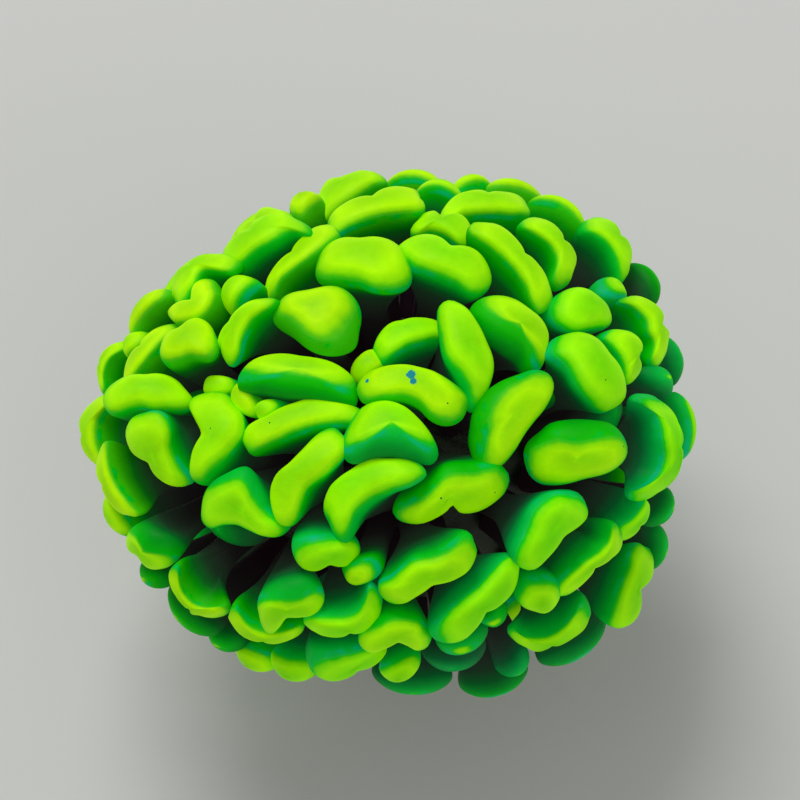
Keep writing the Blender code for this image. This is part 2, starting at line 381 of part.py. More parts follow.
SMALL_TENTACLES = (
    Tentacle("small_05", -13.7, 6.8, 50, 3.4, 1.4, drop=1.2),
    Tentacle("small_06", -8.3, 7.8, 50, 2.4, 2.0, drop=0.9),
    Tentacle("small_09", -14.3, 4.9, 50, 1.6, 1.4, drop=2.0),
    Tentacle("small_15", -15.4, -4.6, -55, 2.8, 1.3, drop=1.8),
    Tentacle("small_19", -13.3, -8.0, -30, 2.0, 1.3, drop=1.6),
    Tentacle("small_21", -11.3, -10.3, -42, 3.6, 1.4, drop=2.4),
    Tentacle("small_24", -9.4, -11.7, -30, 2.2, 1.2, drop=2.6),
    Tentacle("small_25", -7.6, -12.8, -18, 2.6, 1.3, drop=2.0),
    Tentacle("small_26", -5.4, -13.2, -10, 2.6, 1.6, drop=1.8),
    Tentacle("small_30", 0.6, -13.4, 20, 2.2, 1.3, drop=2.8),
    Tentacle("small_31", 1.3, -14.2, -5, 4.6, 1.5, drop=4.2),
    Tentacle("small_33", -1.5, -7.6, 15, 2.2, 1.6, drop=1.1),
    Tentacle("small_36", 5.9, -10.2, 40, 1.8, 1.3, drop=2.4),
    Tentacle("small_37", 4.2, -11.7, 20, 3.0, 1.4, drop=2.4),
    Tentacle("small_43", 15.3, -6.8, 80, 2.8, 1.3, drop=2.8),
    Tentacle("small_44", 15.6, -4.3, 62, 2.4, 1.2, drop=2.6),
    Tentacle("small_46", 10.8, -12.2, 25, 4.4, 1.5, drop=3.6),
    Tentacle("small_47", 7.2, -13.3, 50, 2.0, 1.3, drop=3.2),
    Tentacle("small_48", 6.2, -14.4, 20, 4.0, 1.5, drop=4.4),
    Tentacle("small_50", 16.9, 0.4, 94, 4.0, 1.4, drop=2.6),
    Tentacle("small_52", 15.4, 2.9, -20, 2.4, 1.4, drop=2.6),
    Tentacle("small_54", 16.2, 4.3, -75, 3.0, 1.3, drop=2.6),
    Tentacle("small_56", 12.6, 7.85, 0, 1.9, 1.8, drop=2.0),
    Tentacle("small_58", 14.8, 8.7, -60, 2.8, 1.3, drop=2.2),
    Tentacle("small_70", 1.4, 14.4, -3, 3.4, 1.4, drop=2.8),
    Tentacle("small_71", -4.7, 12.9, 45, 1.8, 1.6, drop=1.8),
    Tentacle("small_72", 2.9, 13.8, -8, 2.7, 1.3, drop=2.2),
    Tentacle("small_75", 9.9, 12.7, -30, 3.6, 1.5, drop=1.6),
    Tentacle("small_76", 7.5, 13.8, -8, 3.4, 1.4, drop=2.6),
    Tentacle("small_93", 5.0, 14.2, 0, 2.3, 1.3, drop=3.0),
    Tentacle("small_89", -8.0, 1.9, -55, 2.0, 1.3, drop=1.4),
    Tentacle("small_90", -6.8, 1.3, 35, 1.4, 1.0, drop=1.1),
    Tentacle("small_91", -9.6, 2.6, 0, 1.9, 1.2, drop=2.4),
    Tentacle("small_92", -1.1, 3.7, 45, 2.3, 1.5, drop=2.2),
)

# Rings of tentacles behind the outline of the front view: how many, and degrees below it. Their
# tips take these lengths, widths and turns one after another, and start this share of a step round.
SKIRT_RINGS = ((16, 18.0), (11, 36.0))
SKIRT_TIPS = ((5.2, 1.9, 12), (4.4, 2.1, -16), (5.8, 1.7, 4), (4.8, 1.9, -8))
SKIRT_START = 0.3
# A tip that would lie inside this upright oval, in the column or against it, is left out.
COLUMN_HALF = np.array((10.6, 9.6, 1.0)) * MM


def unit(vector):
    """The vector at a length of one."""
    return vector / np.linalg.norm(vector)


def turned(vector, start, end):
    """A vector square to start, turned with it by the shortest way to end; both have length one."""
    both = start + end
    return vector - both * (end @ vector) / (1.0 + start @ end)


def in_view(degrees):
    """The direction at an angle in the front view, anticlockwise from its right."""
    angle = math.radians(degrees)
    return math.cos(angle) * RIGHT + math.sin(angle) * UP


def head_height(right, up):
    """How far towards the viewer the head's surface is, at a place in the front view.

    It is the nearer crossing of a line of sight with the flattened ball. Past the ball's edge the
    line is taken to touch it.
    """
    across = (right * RIGHT + up * UP) / HEAD_HALF
    along = TOWARDS / HEAD_HALF
    a, b, c = along @ along, across @ along, across @ across - 1.0
    return (-b + math.sqrt(max(0.0, b * b - a * c))) / a


def stand(tip, face, long_axis):
    """The points and directions that a tentacle follows: root, elbow, tip, and its long axis."""
    reach = tip - DISC_CENTRE
    clear = np.linalg.norm(reach) * (1.0 - 1.0 / np.linalg.norm(reach / DISC_HALF))
    elbow = tip - face * clear * ELBOW_SHARE
    heading = (elbow - DISC_CENTRE) / DISC_HALF
    root = DISC_CENTRE + DISC_HALF * unit(heading)
    long_axis = unit(long_axis - face * (long_axis @ face))
    return root, elbow, tip, long_axis


def stand_in_view(tentacle):
    """Where a tentacle that the front view shows stands, and its tip's true length."""
    right, up = tentacle.right * MM, tentacle.up * MM
    height = head_height(right, up) - (tentacle.drop + CROWN_RISE * tentacle.width) * MM
    tip = HEAD_CENTRE + right * RIGHT + up * UP + height * TOWARDS
    face = unit(tip - SPREAD_CENTRE)
    if tentacle.stalk is not None:
        tilt = math.radians(tentacle.tilt)
        face = math.cos(tilt) * TOWARDS - math.sin(tilt) * in_view(tentacle.stalk)
    seen = in_view(tentacle.turn)
    slant = -(face @ seen) / max(face @ TOWARDS, FACING_LIMIT)
    slant = min(max(slant, -STEEPEST_SLANT), STEEPEST_SLANT)
    length = tentacle.length * math.sqrt(1.0 + slant * slant)
    return stand(tip, face, seen + slant * TOWARDS), length


def stand_in_skirt(angle, dip, turn, width):
    """Where a tentacle behind the outline stands: round the view's axis, and below its plane."""
    outward = math.cos(angle) * RIGHT + math.sin(angle) * UP
    heading = math.cos(dip) * outward - math.sin(dip) * TOWARDS
    tip = HEAD_CENTRE + heading / np.linalg.norm(heading / HEAD_HALF)
    face = unit(tip - SPREAD_CENTRE)
    level = np.cross(TOWARDS, outward)
    long_axis = math.cos(turn) * level + math.sin(turn) * TOWARDS
    return stand(tip - face * CROWN_RISE * width * MM, face, long_axis)


def fall(distance):
    """A smooth fall from one at zero to nothing at one, level at both ends."""
    x = min(max(distance, 0.0), 1.0)
    return 1.0 - 3.0 * x * x + 2.0 * x * x * x


def fuller(values):
    """Cosines or sines round an oval with fuller corners."""
    return np.sign(values) * np.abs(values) ** (2 / SECTION_POWER)


def even_places(curve, count):
    """Points at even distances along a closed curve."""
    closed = np.concatenate((curve, curve[:1]))
    so_far = np.append(0.0, np.cumsum(np.linalg.norm(np.diff(closed, axis=0), axis=1)))
    wanted = so_far[-1] * np.arange(count) / count
    return np.stack([np.interp(wanted, so_far, closed[:, k]) for k in range(2)], axis=-1)


def widest_ring(tentacle, place, length, sides):
    """The widest ring of a tip and its middle line, in the tip's own directions.

    An outline seen in the front view is laid on the tip's tilted plane. On the side that the tip
    faces, its crown makes the outline and hides the ring, so the ring is drawn in there.
    """
    if not tentacle.outline:
        angle = 2 * math.pi * np.arange(sides) / sides
        x = length * MM / 2 * fuller(np.cos(angle))
        y = tentacle.width * MM / 2 * fuller(np.sin(angle))
        return x, y, 0 * x, np.array((-1.0, 1.0)), np.array((0.0, 0.0))

    root, elbow, tip, long_axis = place
    face = unit(tip - elbow)
    stalk, tilt = math.radians(tentacle.stalk), math.radians(tentacle.tilt)
    towards_stalk = np.array((math.cos(stalk), math.sin(stalk)))

    def in_tip_directions(seen):
        size = np.linalg.norm(seen, axis=1)
        away = np.maximum(0.0, -(seen @ towards_stalk)) / size
        hidden = CROWN_RISE * tentacle.width * math.sin(tilt) * away / size
        drawn = seen * np.sqrt(np.maximum(1.0 - hidden**2, LEAST_DRAWN))[:, None]
        nearer = min(math.tan(tilt), STEEPEST_RING) * (drawn @ towards_stalk)
        offset = (drawn[:, :1] * RIGHT + drawn[:, 1:] * UP + nearer[:, None] * TOWARDS) * MM
        return offset @ long_axis, offset @ np.cross(face, long_axis), offset @ face

    curve = outline_curve(tentacle.outline) - (tentacle.right, tentacle.up)
    x, y, z = in_tip_directions(curve)
    return (*in_tip_directions(even_places(curve, sides)), *middle_line(x, y))


def ring(tentacle, place, widest, level):
    """One section of a tentacle, as points round it.

    Below level 0 the section follows a curve from root to tip, and narrows from the tip's widest
    ring to the neck's oval. Above it the ring shrinks towards the tip's middle line while it
    rises, as a pillow.
    """
    root, elbow, tip, long_axis = place
    s = 1.0 + min(level, 0.0)
    centre = (1 - s) ** 2 * root + 2 * s * (1 - s) * elbow + s * s * tip
    ahead = unit(2 * (1 - s) * (elbow - root) + 2 * s * (tip - elbow))
    along = turned(long_axis, unit(tip - elbow), ahead)
    across = np.cross(ahead, along)

    ring_x, ring_y, ring_z, places, middles = widest
    half_long = np.abs(ring_x).max()
    turn = np.arctan2(ring_y / (tentacle.width * MM / 2), ring_x / half_long)
    below = max(-level, 0.0) * np.linalg.norm(tip - root)
    shrink = 1.0 - max(level, 0.0)
    share = fall(below / FLARE_LONG)
    neck_x, neck_y = NECK_HALF_LONG * fuller(np.cos(turn)), NECK_HALF_WIDE * fuller(np.sin(turn))
    x = neck_x + (ring_x - neck_x) * share
    y = neck_y + (ring_y - neck_y) * fall(below / FLARE_WIDE)
    off_middle = y - share * np.interp(x, places, middles)
    y = share * np.interp(shrink * x, places, middles) + shrink * off_middle
    x = shrink * x
    rise = CROWN_RISE * tentacle.width * MM * math.sqrt(1.0 - shrink**CROWN_POWER)
    z = rise + (ring_z * shrink - tentacle.droop * MM * (x / half_long) ** 2) * share
    return [centre + x[k] * along + y[k] * across + z[k] * ahead for k in range(len(x))]


def tentacle_rings(tentacle, place, length, levels, sides):
    """All sections of a tentacle from root to crown, and the middle of its crown."""
    widest = widest_ring(tentacle, place, length, sides)
    rings = [ring(tentacle, place, widest, level) for level in levels]
    crown = np.mean(ring(tentacle, place, widest, 1.0), axis=0)
    return rings, crown


def loft(name, rings, top):
    """A closed mesh through rings of equal count, with fans at its foot and to its top point."""
    shape = bmesh.new()
    rows = [[shape.verts.new(point) for point in points] for points in rings]
    count = len(rows[0])
    foot = shape.verts.new(np.mean(rings[0], axis=0))
    crown = shape.verts.new(top)
    for k in range(count):
        n = (k + 1) % count
        shape.faces.new((foot, rows[0][n], rows[0][k]))
        for low, high in zip(rows, rows[1:]):
            shape.faces.new((low[k], low[n], high[n], high[k]))
        shape.faces.new((rows[-1][k], rows[-1][n], crown))
    bmesh.ops.triangulate(shape, faces=shape.faces)
    mesh = bpy.data.meshes.new(name)
    shape.to_mesh(mesh)
    shape.free()
    return mesh


def add_object(name, mesh, collection):
    """A new object in a collection, with its mesh already in place."""
    item = bpy.data.objects.new(name, mesh)
    collection.objects.link(item)
    return item


def add_cutter(name, mesh, collection):
    """A new object that only shapes others, drawn as wires and hidden from the picture."""
    item = add_object(name, mesh, collection)
    item.hide_render = True
    item.display_type = "WIRE"
    return item


def guard_of(item, cutters):
    """A cutter: the object's shape, grown by the gap that its neighbours keep."""
    mesh = item.data.copy()
    moved = [vertex.co + vertex.normal * GAP for vertex in mesh.vertices]
    for vertex, place in zip(mesh.vertices, moved):
        vertex.co = place
    return add_cutter(item.name + "_guard", mesh, cutters)


def tree_of(mesh):
    """A search tree of a mesh's faces, to find what touches it."""
    return BVHTree.FromPolygons(
        [vertex.co for vertex in mesh.vertices], [list(face.vertices) for face in mesh.polygons]
    )


def keep_largest(mesh):
    """Drop every loose bit that a cut has left, except the largest."""
    shape = bmesh.new()
    shape.from_mesh(mesh)
    unseen = set(shape.verts)
    bodies = []
    while unseen:
        todo = [unseen.pop()]
        body = set(todo)
        while todo:
            for edge in todo.pop().link_edges:
                for vertex in edge.verts:
                    if vertex in unseen:
                        unseen.remove(vertex)
                        body.add(vertex)
                        todo.append(vertex)
        bodies.append(body)
    bodies.sort(key=len, reverse=True)
    for body in bodies[1:]:
        bmesh.ops.delete(shape, geom=list(body), context="VERTS")
    shape.to_mesh(mesh)
    shape.free()


def volume(mesh):
    """The volume that a closed mesh holds."""
    shape = bmesh.new()
    shape.from_mesh(mesh)
    held = shape.calc_volume(signed=True)
    shape.free()
    return held


def combined(item, other, operation, solver):
    """The mesh that a Boolean makes of two objects; neither is changed."""
    change = item.modifiers.new(other.name, "BOOLEAN")
    change.operation = operation
    change.solver = solver
    change.object = other
    graph = bpy.context.evaluated_depsgraph_get()
    mesh = bpy.data.meshes.new_from_object(item.evaluated_get(graph))
    item.modifiers.clear()
    return mesh


def is_closed(mesh):
    """Whether every edge of a mesh joins exactly two faces."""
    shape = bmesh.new()
    shape.from_mesh(mesh)
    closed = all(edge.is_manifold for edge in shape.edges)
    shape.free()
    return closed


def combine(item, other, operation):
    """Cut the other object out of an object, or join it on, and keep the largest body.

    Where folds in a bent tentacle mislead the exact solver, the volume comes out wrong or the mesh
    open, and the manifold solver does that one step.
    """
    own, others = volume(item.data), volume(other.data)
    low, high = (own - others, own) if operation == "DIFFERENCE" else (own, own + others)
    mesh = combined(item, other, operation, "EXACT")
    sound = max(low, own * LEAST_LEFT) <= volume(mesh) <= high * (1.0 + VOLUME_SLACK)
    if not (sound and is_closed(mesh)):
        mesh = combined(item, other, operation, "MANIFOLD")
    keep_largest(mesh)
    item.data = mesh


def welded(mesh, distance):
    """A copy in triangles whose points nearer than this are joined, with no slivers left."""
    shape = bmesh.new()
    shape.from_mesh(mesh)
    bmesh.ops.triangulate(shape, faces=shape.faces)
    bmesh.ops.remove_doubles(shape, verts=shape.verts, dist=distance)
    bmesh.ops.dissolve_degenerate(shape, edges=shape.edges, dist=distance)
    bmesh.ops.triangulate(shape, faces=shape.faces)
    joined = bpy.data.meshes.new(mesh.name)
    shape.to_mesh(joined)
    shape.free()
    return joined


def lighten(item, share):
    """Merge small faces until this share of them is left, and the mesh is still closed."""
    whole = item.data
    change = item.modifiers.new("lighten", "DECIMATE")
    change.ratio = share
    for distance in WELD_DISTANCES:
        item.data = welded(whole, distance)
        graph = bpy.context.evaluated_depsgraph_get()
        mesh = bpy.data.meshes.new_from_object(item.evaluated_get(graph))
        if is_closed(mesh):
            break
    item.data = mesh if is_closed(mesh) else whole
    item.modifiers.clear()


def trim(item, guards):
    """Cut away what would press into a neighbour that lies over it."""
    for guard in guards:
        if tree_of(item.data).overlap(tree_of(guard.data)):
            combine(item, guard, "DIFFERENCE")


def oval_ring(centre, half, height, sides, rib=0.0):
    """Points of a level oval, in and out by turns where it has ribs."""
    points = []
    for k in range(sides):
        angle = 2 * math.pi * k / sides
        out = rib if k % 2 else 0.0
        x = centre[0] + (half[0] - out) * math.cos(angle)
        y = centre[1] + (half[1] - out) * math.sin(angle)
        points.append(np.array((x, y, height)))
    return points


def skeleton_mesh(name, grow=0.0, rib=RIB_DEPTH):
    """The ribbed oval stalk, from the cut up to its rim; grown and without ribs as a cutter."""
    rings = []
    for t in SKELETON_LEVELS:
        half = SKELETON_FOOT + (SKELETON_RIM - SKELETON_FOOT) * fall(1.0 - t) + grow
        centre = SKELETON_TOP_MIDDLE * t * t
        rings.append(oval_ring(centre, half, SKELETON_HEIGHT * t, 2 * SKELETON_RIBS, rib))
    top = np.array((*SKELETON_TOP_MIDDLE, SKELETON_HEIGHT))
    if grow:
        rings[-1] = [point + np.array((0, 0, grow)) for point in rings[-1]]
        rings[0] = [point - np.array((0, 0, grow)) for point in rings[0]]
        top[2] += grow
    return loft(name, rings, top)


def polyp_mesh(name):
    """The soft column and its domed disc, as one oval loft."""
    rings = []
    for height, half_x, half_y in POLYP_PROFILE:
        half = np.array((half_x, half_y)) * MM
        rings.append(oval_ring(DISC_CENTRE, half, height * MM, POLYP_SIDES))
    top = np.array((DISC_CENTRE[0], DISC_CENTRE[1], POLYP_TOP * MM))
    return loft(name, rings, top)


def material(name, look):
    """A plain Principled material of a colour and roughness."""
    colour, roughness = look
    made = bpy.data.materials.new(name)
    made.use_nodes = True
    shader = made.node_tree.nodes["Principled BSDF"]
    shader.inputs["Base Color"].default_value = (*colour, 1.0)
    shader.inputs["Roughness"].default_value = roughness
    shader.inputs["Metallic"].default_value = 0.0
    made.diffuse_color = (*colour, 1.0)
    return made


def large_tentacles(parts, cutters):
    """Every large tentacle in turn, the topmost first, each clear of those above it."""
    guards = []
    for tentacle in sorted(LARGE_TENTACLES, key=lambda t: t.drop):
        place, length = stand_in_view(tentacle)
        root, elbow, tip, long_axis = place
        root = root + GAP * unit((root - DISC_CENTRE) / DISC_HALF**2)
        place = root, elbow, tip, long_axis
        rings, crown = tentacle_rings(tentacle, place, length, LARGE_LEVELS, LARGE_SIDES)
        item = add_object(tentacle.name, loft(tentacle.name, rings, crown), parts)
        trim(item, guards)
        guards.append(guard_of(item, cutters))
        item.data.materials.append(material(tentacle.name, TENTACLE_LOOK))
        item.data.shade_smooth()
    return guards


def fused_tentacles():
    """Name, form, place and true length of every tentacle that is grown to the polyp."""
    for tentacle in SMALL_TENTACLES:
        place, length = stand_in_view(tentacle)
        yield tentacle, place, length
    count = 0
    for number, dip in SKIRT_RINGS:
        for k in range(number):
            length, width, turn = SKIRT_TIPS[count % len(SKIRT_TIPS)]
            angle = 2 * math.pi * (k + SKIRT_START + dip / 90.0) / number
            place = stand_in_skirt(angle, math.radians(dip), math.radians(turn), width)
            count += 1
            if np.linalg.norm(((place[2] - DISC_CENTRE) / COLUMN_HALF)[:2]) < 1.0:
                continue
            yield Tentacle(f"skirt_{count:02d}", 0, 0, turn, length, width), place, length


def polyp(parts, cutters, guards):
    """The polyp, fitted over the stalk, with the small tentacles joined to it."""
    item = add_object("polyp_body", polyp_mesh("polyp_body"), parts)
    for tentacle, place, length in fused_tentacles():
        root, elbow, tip, long_axis = place
        root = root - ROOT_SINK * unit((root - DISC_CENTRE) / DISC_HALF**2)
        place = root, elbow, tip, long_axis
        rings, crown = tentacle_rings(tentacle, place, length, SMALL_LEVELS, SMALL_SIDES)
        growth = add_cutter(tentacle.name, loft(tentacle.name, rings, crown), cutters)
        trim(growth, guards)
        combine(item, growth, "UNION")
    socket = add_cutter("stalk_socket", skeleton_mesh("stalk_socket", grow=GAP, rib=0.0), cutters)
    combine(item, socket, "DIFFERENCE")
    lighten(item, POLYP_FACE_SHARE)
    item.data.materials.append(material("polyp_body", POLYP_LOOK))


def main():
    """Empty the scene, then build the stalk, the large tentacles and the polyp, in that order."""
    for item in list(bpy.data.objects):
        bpy.data.objects.remove(item)
    parts = bpy.data.collections.new(COLLECTION)
    cutters = bpy.data.collections.new(COLLECTION + "_cutters")
    for collection in (parts, cutters):
        bpy.context.scene.collection.children.link(collection)

    skeleton = add_object("skeleton", skeleton_mesh("skeleton"), parts)
    skeleton.data.materials.append(material("skeleton", SKELETON_LOOK))
    guards = large_tentacles(parts, cutters)
    polyp(parts, cutters, guards)


main()
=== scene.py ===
# %% [markdown]
# # A head of hammer coral
#
# One soft polyp sits on the cut stalk of its stony skeleton. From its domed disc grow crowded
# tentacles, and each flares to a tip shaped like a hammer, a bean or an anchor. The tips hold green
# and yellow pigments with a painted glow, while the stalks below them are dull grey-green and darken
# into painted shade.
#
# The imported solids are the frame. Every visible surface is worked out here again on a fine grid from
# the same measures, and stands for its solid.

import math
from typing import NamedTuple

import bpy
import numpy as np
from mathutils import Matrix


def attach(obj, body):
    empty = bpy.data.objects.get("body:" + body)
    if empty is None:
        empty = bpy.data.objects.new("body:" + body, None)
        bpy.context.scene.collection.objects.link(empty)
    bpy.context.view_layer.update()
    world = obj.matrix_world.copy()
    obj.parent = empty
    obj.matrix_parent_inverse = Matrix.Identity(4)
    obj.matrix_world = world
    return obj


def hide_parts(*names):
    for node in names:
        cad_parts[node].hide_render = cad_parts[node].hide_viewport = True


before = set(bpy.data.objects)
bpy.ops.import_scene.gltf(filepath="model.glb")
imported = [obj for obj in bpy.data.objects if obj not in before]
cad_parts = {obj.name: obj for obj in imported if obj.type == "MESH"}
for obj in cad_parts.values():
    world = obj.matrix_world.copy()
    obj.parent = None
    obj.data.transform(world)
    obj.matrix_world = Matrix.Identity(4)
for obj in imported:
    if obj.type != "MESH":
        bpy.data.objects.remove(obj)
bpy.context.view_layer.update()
print("frame:", len(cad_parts), "solids")

# %% [markdown]
# ## The view and the head
#
# The tentacles are set out as someone sees them who looks down on the head, leaning 20 degrees
# towards -Y. Three directions make that view: to its right, up in it, and towards the viewer. The
# tips lie on a flattened ball, and the stalks come from a smaller dome, the disc of the polyp.

# %% Directions and main sizes
MM = 0.001
VIEW_LEAN = math.radians(20.0)
RIGHT = np.array((1.0, 0.0, 0.0))
UP = np.array((0.0, math.cos(VIEW_LEAN), math.sin(VIEW_LEAN)))
TOWARDS = np.array((0.0, -math.sin(VIEW_LEAN), math.cos(VIEW_LEAN)))

HEAD_CENTRE = np.array((0.0, 0.0, 19.0)) * MM
HEAD_HALF = np.array((17.0, 14.9, 11.0)) * MM
SPREAD_CENTRE = np.array((2.3, 0.4, 14.5)) * MM
DISC_CENTRE = np.array((0.9, 0.2, 14.5)) * MM
DISC_HALF = np.array((9.5, 8.5, 6.0)) * MM

# %% [markdown]
# ## The tentacles, one by one
#
# No two tips are alike, so each large one has its own outline, a few points in millimetres as the
# view shows them. Straight lines between them would look cut with scissors. A Blender curve could
# round them, but its area and its middle are needed too, so the smooth curve through the points is
# worked out here as an array.

# %% Curves through points
CURVE_STEPS = 8
MIDDLE_PLACES = 60


def catmull_rom(p0, p1, p2, p3, steps):
    """Points from each p1 towards its p2, with p0 before and p3 after. For t from 0 to 1 they are
    half of 2 p1 + (p2 - p0) t + (2 p0 - 5 p1 + 4 p2 - p3) t² + (3 p1 - p0 - 3 p2 + p3) t³."""
    t = (np.arange(steps) / steps)[None, :, None]
    return 0.5 * (
        2 * p1 + (p2 - p0) * t + (2 * p0 - 5 * p1 + 4 * p2 - p3) * t**2 + (3 * p1 - p0 - 3 * p2 + p3) * t**3
    )


def closed_curve(points, steps):
    """A Catmull-Rom curve through all points and back to the first."""
    corners = (np.roll(points, 1 - k, axis=0)[:, None, :] for k in range(4))
    return catmull_rom(*corners, steps).reshape(-1, 2)


def open_curve(points, steps):
    """A Catmull-Rom curve from the first point to the last. Before the first and after the last it
    takes a point as far out again as the next one in is away."""
    padded = np.concatenate((2 * points[:1] - points[1:2], points, 2 * points[-1:] - points[-2:-1]))
    corners = (padded[k : len(padded) - 3 + k, None, :] for k in range(4))
    curve = catmull_rom(*corners, steps)
    return np.concatenate((curve.reshape(-1, points.shape[1]), points[-1:]))


def signed_area(curve):
    """Half the sum of x y' - x' y over a closed curve, positive where it runs anticlockwise."""
    after = np.roll(curve, -1, axis=0)
    return 0.5 * np.sum(curve[:, 0] * after[:, 1] - after[:, 0] * curve[:, 1])


def outline_curve(points):
    """The smooth outline through the points, turned round where it would run clockwise."""
    curve = closed_curve(np.array(points), CURVE_STEPS)
    return curve if signed_area(curve) > 0 else curve[::-1]


def middle_line(x, y):
    """Half way between an outline's two edges, as places along x. From the outline's right end
    anticlockwise to its left end runs the upper edge, and from there back the lower one."""
    begin, count = np.argmax(x), (np.argmin(x) - np.argmax(x)) % len(x)
    x, y = np.roll(x, -begin), np.roll(y, -begin)
    upper_x, upper_y = x[: count + 1][::-1], y[: count + 1][::-1]
    lower_x, lower_y = np.append(x[count:], x[0]), np.append(y[count:], y[0])
    places = np.linspace(x.min(), x.max(), MIDDLE_PLACES)
    upper = np.interp(places, np.maximum.accumulate(upper_x), upper_y)
    lower = np.interp(places, np.maximum.accumulate(lower_x), lower_y)
    return places, (upper + lower) / 2


print("area of a unit square:", signed_area(np.array(((0, 0), (1, 0), (1, 1), (0, 1)))))

# %% [markdown]
# A row holds what the view shows of a tentacle. `turn` is the way of the tip's long axis, `stalk` the
# way that its stalk runs from the tip, and `tilt` how far the tip faces away from the viewer. `droop`
# hangs its ends back and `drop` sets it deeper. `bare` lists sides on which the pigment draws back,
# each a direction and how far, and the last field draws it back all round, as painted shade on tips
# deep in the head. A small tip is an oval with a middle, a length and a width.

# %% One row for each tentacle
WIDTH_OF_AREA = 1.15


class Tentacle(NamedTuple):
    """One tentacle as the view shows it; lengths in millimetres, angles in degrees."""

    name: str
    right: float
    up: float
    turn: float
    length: float
    width: float
    stalk: float | None = None
    tilt: float | None = None
    outline: tuple = ()
    droop: float = 0.5
    drop: float = 0.0
    bare: tuple = ()
    # How far the pigment draws back all round: painted shade that darkens tips lying deep in the head.
    fade: float = 0.0


def outlined(name, turn, stalk, tilt, outline, droop=0.5, drop=0.0, bare=()):
    """A tentacle from its outline. The length is measured along the turn, the width is the area
    over the length times a constant, and the middle is half way along the middle line."""
    angle = math.radians(turn)
    along = np.array((math.cos(angle), math.sin(angle)))
    across = np.array((-math.sin(angle), math.cos(angle)))
    curve = outline_curve(outline)
    x, y = curve @ along, curve @ across
    places, middles = middle_line(x, y)
    halfway = (x.min() + x.max()) / 2
    right, up = halfway * along + np.interp(halfway, places, middles) * across
    length = np.ptp(x)
    width = WIDTH_OF_AREA * signed_area(curve) / length
    return Tentacle(name, right, up, turn, length, width, stalk, tilt, outline, droop, drop, bare)


